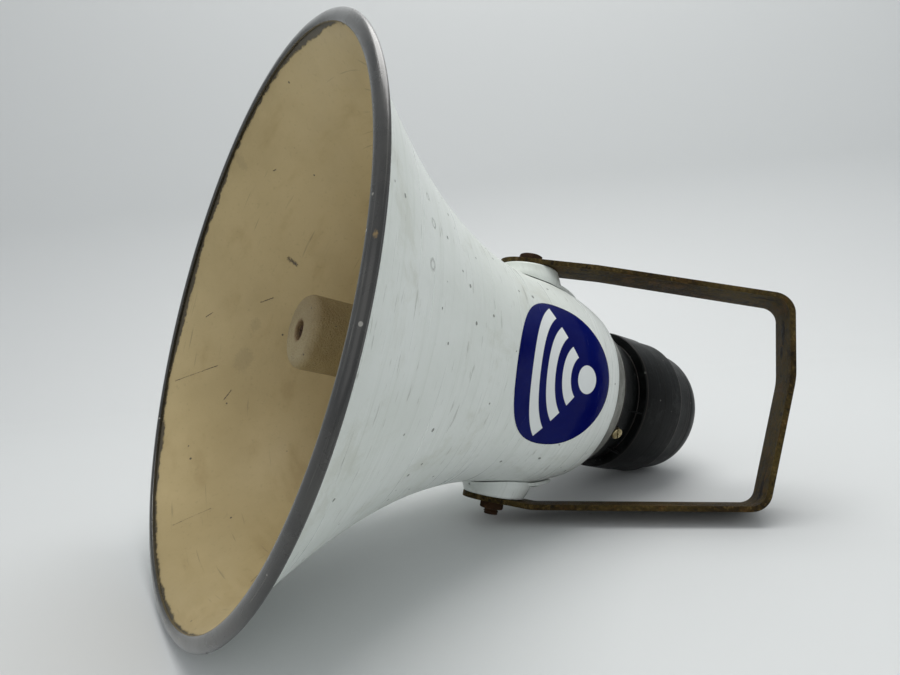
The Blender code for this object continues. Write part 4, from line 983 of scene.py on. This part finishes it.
def threaded_rod(name, radius, bottom, thread_start, top, place):
    """A plain shank that ends in turned thread ridges and a small chamfer."""
    height = top - rod_chamfer
    section = [(0.0, top), (radius - 0.0008, top), (radius - 0.0003, height)]
    while height - thread_pitch > thread_start:
        section += [(radius - thread_depth, height - thread_pitch * 0.35),
                    (radius, height - thread_pitch * 0.85)]
        height -= thread_pitch
    section += [(radius - 0.0002, height - 0.0002), (radius, thread_start), (radius, bottom),
                (0.0, bottom)]
    return turn_on_lathe(name, section, steps=64, place=place, crease=25.0)


above, below = side_matrix(1.0), side_matrix(-1.0)
head_top = seat_height + head_height
nut_top = seat_height + nut_height
bolt = threaded_rod("bolt_upper_hex", bolt_radius, shank_end, shank_end + 0.004,
                    seat_height + 0.001, above)
unite(bolt, hexagon("bolt_head", seat_height, head_top, above, 0.0))
nut = hexagon("nut_lower_hex", seat_height, nut_top, below, math.radians(12))
drill(nut, bolt_bore, seat_height - 0.002, nut_top + 0.002, below)
stud = threaded_rod("stud_lower_thread", bolt_radius, shank_end, seat_height + 0.001,
                    nut_top + stud_proud, below)
for piece, node in ((bolt, "bolt_upper"), (nut, "nut_lower"), (stud, "stud_lower")):
    pick(piece)
    ease_edges(piece, 0.00025, 2, 25)
    smooth(35)
    coat(piece, dark_rust)
    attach(piece, "horn")
    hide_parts(node)

# The rear collar.
# A turned aluminium ring between the bell and the driver, left unpainted and dulled, with the
# threaded nipple that the driver screws on.
collar_front = bell_length + fit_gap
collar_rear = collar_front + 0.0144
collar_front_radius = rear_radius - 0.0010
collar_rear_radius = 0.0506
nipple_radius = 0.0170
nipple_end = collar_rear + 0.0120
throat_radius = 0.0080
gasket_outer = rear_radius - 0.006
gasket_inner = gasket_outer - 0.009
gasket_thickness = 0.0008
gasket_recess = collar_front + gasket_thickness + fit_gap
collar_edge = 0.0008
collar_lip = 0.0005


def mix_dull_aluminium():
    """Lathe-turned aluminium with fine rings, grey oxide and scattered dark specks."""
    metal = Finish("dull_aluminium", roughness=0.45, metallic=0.85)
    rings = metal.streaks((6, 2600, 6), 3.0, 0.6)
    cloud = metal.noise(60.0, 5.0, 0.65)
    metal.base(cloud, 0.3, 0.7, (0.33, 0.33, 0.30), (0.20, 0.20, 0.18))
    metal.tint(rings, 0.55, 0.75, 0.5, (0.44, 0.44, 0.41))
    metal.over(metal.specks(150.0, 0.12, 0.3), (0.08, 0.08, 0.07))
    metal.bump(rings, 0.00015)
    return metal.finish(cloud, 0.3, 0.7, 0.38, 0.58)


dull_aluminium = mix_dull_aluminium()
section = [(nipple_radius - 0.0006, nipple_end), (nipple_radius, nipple_end - 0.0006)]
section += [(nipple_radius, collar_rear)]
section += corner((collar_rear_radius - collar_edge, collar_rear - collar_edge), collar_edge,
                  90, 0, 4)
section += [(collar_front_radius - 0.0009, collar_front + 0.0022)]
section += corner((collar_front_radius - collar_lip, collar_front + collar_lip), collar_lip,
                  60, -90)
recess_outer, recess_inner = gasket_outer + fit_gap, gasket_inner - fit_gap
section += [(recess_outer, collar_front), (recess_outer, gasket_recess)]
section += [(recess_inner, gasket_recess), (recess_inner, collar_front)]
section += [(throat_radius, collar_front), (throat_radius, nipple_end)]
collar = turn_on_lathe("collar_ring", section, steps=192)
coat(collar, dull_aluminium)
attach(collar, "horn")
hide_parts("rear_collar")

# The front housing.
# A cone of black moulded phenolic with a raised rim line behind and narrow ribs that frame each
# terminal. Its moulded lettering is left out.
housing_front = collar_rear + fit_gap
housing_length = 0.0231
housing_rear = housing_front + housing_length
housing_front_radius = 0.0495
housing_rear_radius = 0.0419
socket_radius = nipple_radius + fit_gap
socket_end = nipple_end + gasket_thickness + 2 * fit_gap
chamber_front = socket_end + 0.0040
chamber_radius = 0.0290
terminal_angles = (118.6, 298.6)
terminal_setback = 0.0050
rib_spread = 19.0


def housing_radius(depth):
    share = (depth - housing_front) / housing_length
    return housing_front_radius + (housing_rear_radius - housing_front_radius) * share


def mix_black_phenolic(name, rings):
    """Moulded phenolic gone satin, with dust, rubbed streaks and pale rings at depths, painted as highlights."""
    plastic = Finish(name, roughness=0.4, specular=0.13)
    cloud = plastic.noise(30.0, 5.0, 0.65)
    plastic.base(cloud, 0.35, 0.7, (0.0025, 0.0030, 0.0030), (0.0065, 0.0074, 0.0072))
    rub = plastic.streaks((22, 500, 22), 5.0, 0.7)
    plastic.tint(rub, 0.54, 0.70, 0.55, (0.022, 0.024, 0.023))
    dust = plastic.specks(210.0, 0.20, 0.30)
    plastic.over(plastic.times(dust, 0.7), (0.12, 0.12, 0.11))
    chalk = plastic.noise(70.0, 7.0, 0.75, vector=plastic.mapped((0.4, 0.2, 0.3)))
    plastic.tint(chalk, 0.54, 0.68, 0.55, (0.028, 0.030, 0.029))
    scratches = plastic.streaks((30, 700, 30), 2.0, turn=(0.7, 0.4, 0.2))
    plastic.tint(scratches, 0.73, 0.78, 0.5, (0.09, 0.09, 0.085))
    # Each ring is a pale line painted as a highlight at one depth, made ragged by the chalk pattern.
    for depth, half_width, share in rings:
        gap = plastic.math("ABSOLUTE", plastic.math("SUBTRACT", plastic.split()["Y"], depth))
        gap = plastic.math("ADD", gap, plastic.times(chalk, half_width))
        line = plastic.between(gap, half_width * 1.7, half_width * 0.9, 0.0, share)
        plastic.over(line, (0.075, 0.062, 0.055))
    plastic.bump(rub, 0.00012)
    plastic.bump(cloud, 0.0003)
    return plastic.finish(cloud, 0.3, 0.75, 0.30, 0.52)


# Painted highlights: pale rings at the housing's rear bead and along its front edge.
black_phenolic = mix_black_phenolic("black_phenolic", ((housing_rear - 0.0007, 0.0004, 0.6),
                                                       (housing_front + 0.0012, 0.0005, 0.5)))


def cone_matrix(angle, depth):
    """A frame on the housing's cone, at an angle in degrees round from the top."""
    turn = math.radians(angle)
    return facing_out(Vector((math.sin(turn), 0.0, math.cos(turn))), depth, housing_radius(depth))


bead = 0.0006
line_setback = 0.0030
line_depth = 0.0002
section = [(housing_rear_radius - 0.0005, housing_rear)]
section += corner((housing_rear_radius - bead * 0.2, housing_rear - bead * 1.2), bead, 80, -50)
section += [(housing_radius(depth) - line_depth, depth)
            for depth in (housing_rear - line_setback, housing_front + line_setback)]
section += corner((housing_front_radius - 0.0011, housing_front + 0.0011), 0.0010, 30, -90)
section += [(socket_radius, housing_front), (socket_radius, socket_end)]
section += [(throat_radius + 0.0005, socket_end), (throat_radius + 0.002, chamber_front)]
section += [(chamber_radius, chamber_front), (chamber_radius, housing_rear)]
housing = turn_on_lathe("housing_cone", section, steps=192)
taper = math.atan((housing_front_radius - housing_rear_radius) / housing_length)
rib_size = (0.0010, 0.0024, housing_length - 0.0042)
rib_sink = Matrix.Rotation(-taper, 4, "X") @ Matrix.Translation((0.0, -0.0006, 0.0))
rib_rounding = 0.0003
pocket_section = [(0.0, -0.0006), (0.0046, -0.0004), (0.0048, 0.006), (0.0, 0.006)]
wire_bore = 0.0019
for angle in terminal_angles:
    for spread in (-rib_spread, rib_spread):
        rib = begin("rib", bpy.ops.mesh.primitive_cube_add, size=1.0)
        rib.scale = rib_size
        settle(rib)
        ease_edges(rib, rib_rounding, 2)
        settle(rib, cone_matrix(angle + spread, housing_front + housing_length * 0.5) @ rib_sink)
        unite(housing, rib)
    place = cone_matrix(angle, housing_front + terminal_setback)
    pocket = turn_on_lathe("pocket", pocket_section, steps=48, place=place)
    unite(housing, pocket, "DIFFERENCE")
    drill(housing, wire_bore, -0.014, 0.003, place, steps=32)
smooth(32)
coat(housing, black_phenolic)
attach(housing, "horn")
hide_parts("front_housing")

# The terminal screws.
# Two slotted brass screws with cheese heads in their pockets on the cone, where the line from
# the amplifier is fastened. No wire is fitted.


def mix_old_brass():
    brass = Finish("old_brass", roughness=0.35, metallic=1.0)
    cloud = brass.noise(300.0, 5.0, 0.65)
    brass.base(cloud, 0.3, 0.7, (0.62, 0.53, 0.31), (0.34, 0.27, 0.13))
    brass.over(brass.specks(700.0, 0.2, 0.3), (0.10, 0.08, 0.04))
    brass.bump(cloud, 0.0002)
    return brass.finish(cloud, 0.3, 0.7, 0.25, 0.5)


old_brass = mix_old_brass()


def cut_slot(piece, top, width, depth, place, turn=0.0):
    """Saws a screwdriver slot across the top of a head."""
    saw = begin("saw", bpy.ops.mesh.primitive_cube_add, size=1.0)
    saw.scale = (0.02, 2 * depth, width)
    settle(saw)
    settle(saw, place @ Matrix.Rotation(turn, 4, "Y") @ Matrix.Translation((0.0, top, 0.0)))
    unite(piece, saw, "DIFFERENCE")
    smooth(32)


screw_radius = 0.0038
screw_rounding = 0.0008
screw_shank = 0.0016
screw_reach = 0.0100
slot_size = 0.0009
seat = -0.0001
head_top = seat + 0.0024
head_corner = (screw_radius - screw_rounding, head_top - screw_rounding)
section = [(0.0, head_top)] + corner(head_corner, screw_rounding, 90, 0, 5)
section += [(screw_radius, seat), (screw_shank, seat), (screw_shank, -screw_reach),
            (0.0, -screw_reach)]
for number, angle in enumerate(terminal_angles, start=1):
    place = cone_matrix(angle, housing_front + terminal_setback)
    screw = turn_on_lathe(f"terminal_head_{number}", section, steps=48, place=place)
    cut_slot(screw, head_top, slot_size, slot_size, place, 0.5)
    coat(screw, old_brass)
    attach(screw, "horn")
    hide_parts(f"terminal_screw_{number}")

# The magnet ring and the rear cover.
# Both are turned from the same black phenolic. The ring screws down on the housing, and the can
# behind it has a step, a faint ring line and a rounded end with a screw in its middle.
ring_radius = 0.0482
ring_front = housing_rear + fit_gap
ring_rear = ring_front + 0.0187
ring_rounding = 0.0014
motor_radius = 0.0415
ring_lip = housing_rear_radius - 0.0045
dome_flange = 0.0005
plate_thickness = 0.0035
lip_rear = housing_rear + dome_flange + plate_thickness
ring_bore = max(ring_radius - 0.0045, motor_radius + fit_gap)
section = [(ring_radius - 0.0005, ring_rear), (ring_radius, ring_rear - 0.0005)]
section += corner((ring_radius - ring_rounding, ring_front + ring_rounding), ring_rounding, 0, -90)
section += [(ring_lip, ring_front), (ring_lip, lip_rear)]
section += [(ring_bore, lip_rear), (ring_bore, ring_rear)]
magnet_collar = turn_on_lathe("magnet_collar", section, steps=192)
cover_front = ring_rear + fit_gap
cover_rear = cover_front + 0.0489
cover_front_radius = 0.0476
cover_step = cover_front + 0.0170
cover_step_drop = 0.0012
cover_edge = 0.0004
cover_rear_radius = 0.0433
cover_round_length = 0.0165
cover_flat_radius = 0.0280
cover_wall = 0.0030
cover_screw_head = 0.0048
recess_radius = cover_screw_head + 0.0008
screw_head_height = 0.0028
recess_floor = cover_rear - screw_head_height - 0.0008
cover_hole = 0.0028
rounding = cover_rear - cover_round_length
section = [(recess_radius, recess_floor), (recess_radius, cover_rear - cover_edge)]
section += [(recess_radius + cover_edge, cover_rear)]
section += corner((cover_flat_radius, rounding), cover_rear_radius - cover_flat_radius, 90, 0, 18,
                  cover_round_length)
section += [(cover_front_radius - cover_step_drop, cover_step + 0.0009)]
section += corner((cover_front_radius - 0.0007, cover_step - 0.0003), 0.0007, 70, 0, 4)
section += [(cover_front_radius, cover_front + cover_edge)]
section += [(cover_front_radius - cover_edge, cover_front)]
cover_bore = max(cover_front_radius - cover_step_drop - cover_wall, motor_radius + fit_gap)
inner_end = min(cover_rear - cover_wall, recess_floor - cover_wall)
section += [(cover_bore, cover_front), (cover_bore, cover_front + 0.022)]
section += [(cover_rear_radius - cover_wall, cover_front + 0.026), (cover_flat_radius, inner_end)]
section += [(cover_hole, inner_end), (cover_hole, recess_floor)]
can = turn_on_lathe("driver_can", section, steps=192)
# Painted highlights: pale rings at the collar's front, the joint, the step, a ring line and where the rounding
# starts.
can_phenolic = mix_black_phenolic("can_phenolic", ((ring_front + 0.0010, 0.0004, 0.35),
                                                   (cover_front, 0.0005, 0.35),
                                                   (cover_step, 0.0006, 0.7),
                                                   (cover_step + 0.0125, 0.0003, 0.3),
                                                   (rounding, 0.0004, 0.3)))
for piece, node in ((magnet_collar, "magnet_ring"), (can, "rear_cover")):
    coat(piece, can_phenolic)
    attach(piece, "horn")
    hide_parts(node)


def mix_dull_steel():
    """Zinc-plated steel gone grey, with turning marks and brown spots."""
    steel = Finish("dull_steel", roughness=0.42, metallic=0.95)
    cloud = steel.noise(140.0, 5.0, 0.65)
    rings = steel.streaks((9, 1800, 9), 3.0)
    steel.base(cloud, 0.3, 0.7, (0.36, 0.36, 0.36), (0.24, 0.235, 0.225))
    steel.over(steel.specks(320.0, 0.18, 0.25), (0.14, 0.075, 0.035))
    steel.bump(rings, 0.0001)
    return steel.finish(cloud, 0.3, 0.7, 0.33, 0.55)


dull_steel = mix_dull_steel()
screw_seat = recess_floor + fit_gap
screw_top = screw_seat + screw_head_height
screw_end = cover_front - 0.006
screw_shank = 0.0025
screw_rounding = 0.0010
head_corner = (cover_screw_head - screw_rounding, screw_top - screw_rounding)
section = [(0.0, screw_top)] + corner(head_corner, screw_rounding, 90, 0, 5)
section += [(cover_screw_head, screw_seat), (screw_shank, screw_seat), (screw_shank, screw_end)]
section += [(0.0, screw_end)]
cover_screw = turn_on_lathe("cover_screw_head", section, steps=48)
cut_slot(cover_screw, screw_top, 0.0011, 0.0010, horn)
coat(cover_screw, dull_steel)
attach(cover_screw, "horn")
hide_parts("cover_screw")

# The parts inside.
# The tone arm, its spider and the throat plate are cast; the motor is plated steel round a
# sintered magnet; the dome is moulded cloth; the gaskets are cork. They keep their own shapes.


def mix_cast_aluminium():
    cast = Finish("cast_aluminium", roughness=0.55, metallic=0.7)
    grain = cast.noise(520.0, 4.0, 0.7)
    cloud = cast.noise(50.0, 4.0)
    cast.base(cloud, 0.3, 0.7, (0.40, 0.40, 0.38), (0.28, 0.28, 0.26))
    cast.tint(grain, 0.6, 0.8, 0.5, (0.18, 0.18, 0.17))
    cast.bump(grain, 0.0003)
    return cast.finish(grain, 0.3, 0.7, 0.45, 0.65)


def mix_copper_wire():
    """Fine enamelled wire, wound in even turns."""
    wire = Finish("copper_wire", roughness=0.35, metallic=0.9)
    cloud = wire.noise(200.0, 3.0)
    wire.base(cloud, 0.3, 0.7, (0.60, 0.26, 0.12), (0.42, 0.16, 0.07))
    wire.bump(wire.threads("Y", 900.0), 0.00012)
    return wire.finish()


def mix_magnet():
    block = Finish("sintered_magnet", roughness=0.6, metallic=0.2)
    grain = block.noise(700.0, 4.0, 0.7)
    block.base(grain, 0.3, 0.7, (0.055, 0.055, 0.06), (0.10, 0.10, 0.105))
    block.bump(grain, 0.0003)
    return block.finish(grain, 0.3, 0.7, 0.5, 0.7)


def mix_dome_cloth():
    """Resin-soaked cotton with its weave showing."""
    cloth = Finish("dome_cloth", roughness=0.6)
    weave = cloth.strongest([cloth.threads(axis, 420.0) for axis in ("X", "Z")])
    cloud = cloth.noise(90.0, 4.0)
    cloth.base(cloud, 0.3, 0.7, (0.34, 0.17, 0.07), (0.24, 0.11, 0.045))
    cloth.over(cloth.between(weave, 0.2, 0.7, 0.4, 0.0), (0.10, 0.045, 0.02))
    cloth.bump(weave, 0.00015)
    return cloth.finish()


def mix_cork():
    cork = Finish("cork_sheet", roughness=0.85)
    grains = cork.specks(420.0, 0.5, 0.7)
    cloud = cork.noise(160.0, 4.0)
    cork.base(cloud, 0.3, 0.7, (0.34, 0.21, 0.11), (0.22, 0.13, 0.065))
    cork.over(cork.times(grains, 0.6), (0.10, 0.055, 0.03))
    cork.bump(cloud, 0.0003)
    return cork.finish()


finishes = {
    "cast_aluminium": mix_cast_aluminium(), "copper": mix_copper_wire(), "magnet": mix_magnet(),
    "phenolic_cloth": mix_dome_cloth(), "gasket": mix_cork(), "dull_steel": dull_steel,
    "black_phenolic": black_phenolic, "rusty_steel": dark_rust,
}
for part in frame["record"]["subparts"]:
    node = frame["nodes"][part["node"]]
    if not node.hide_render and part["material_slot"] in finishes:
        coat(node, finishes[part["material_slot"]])
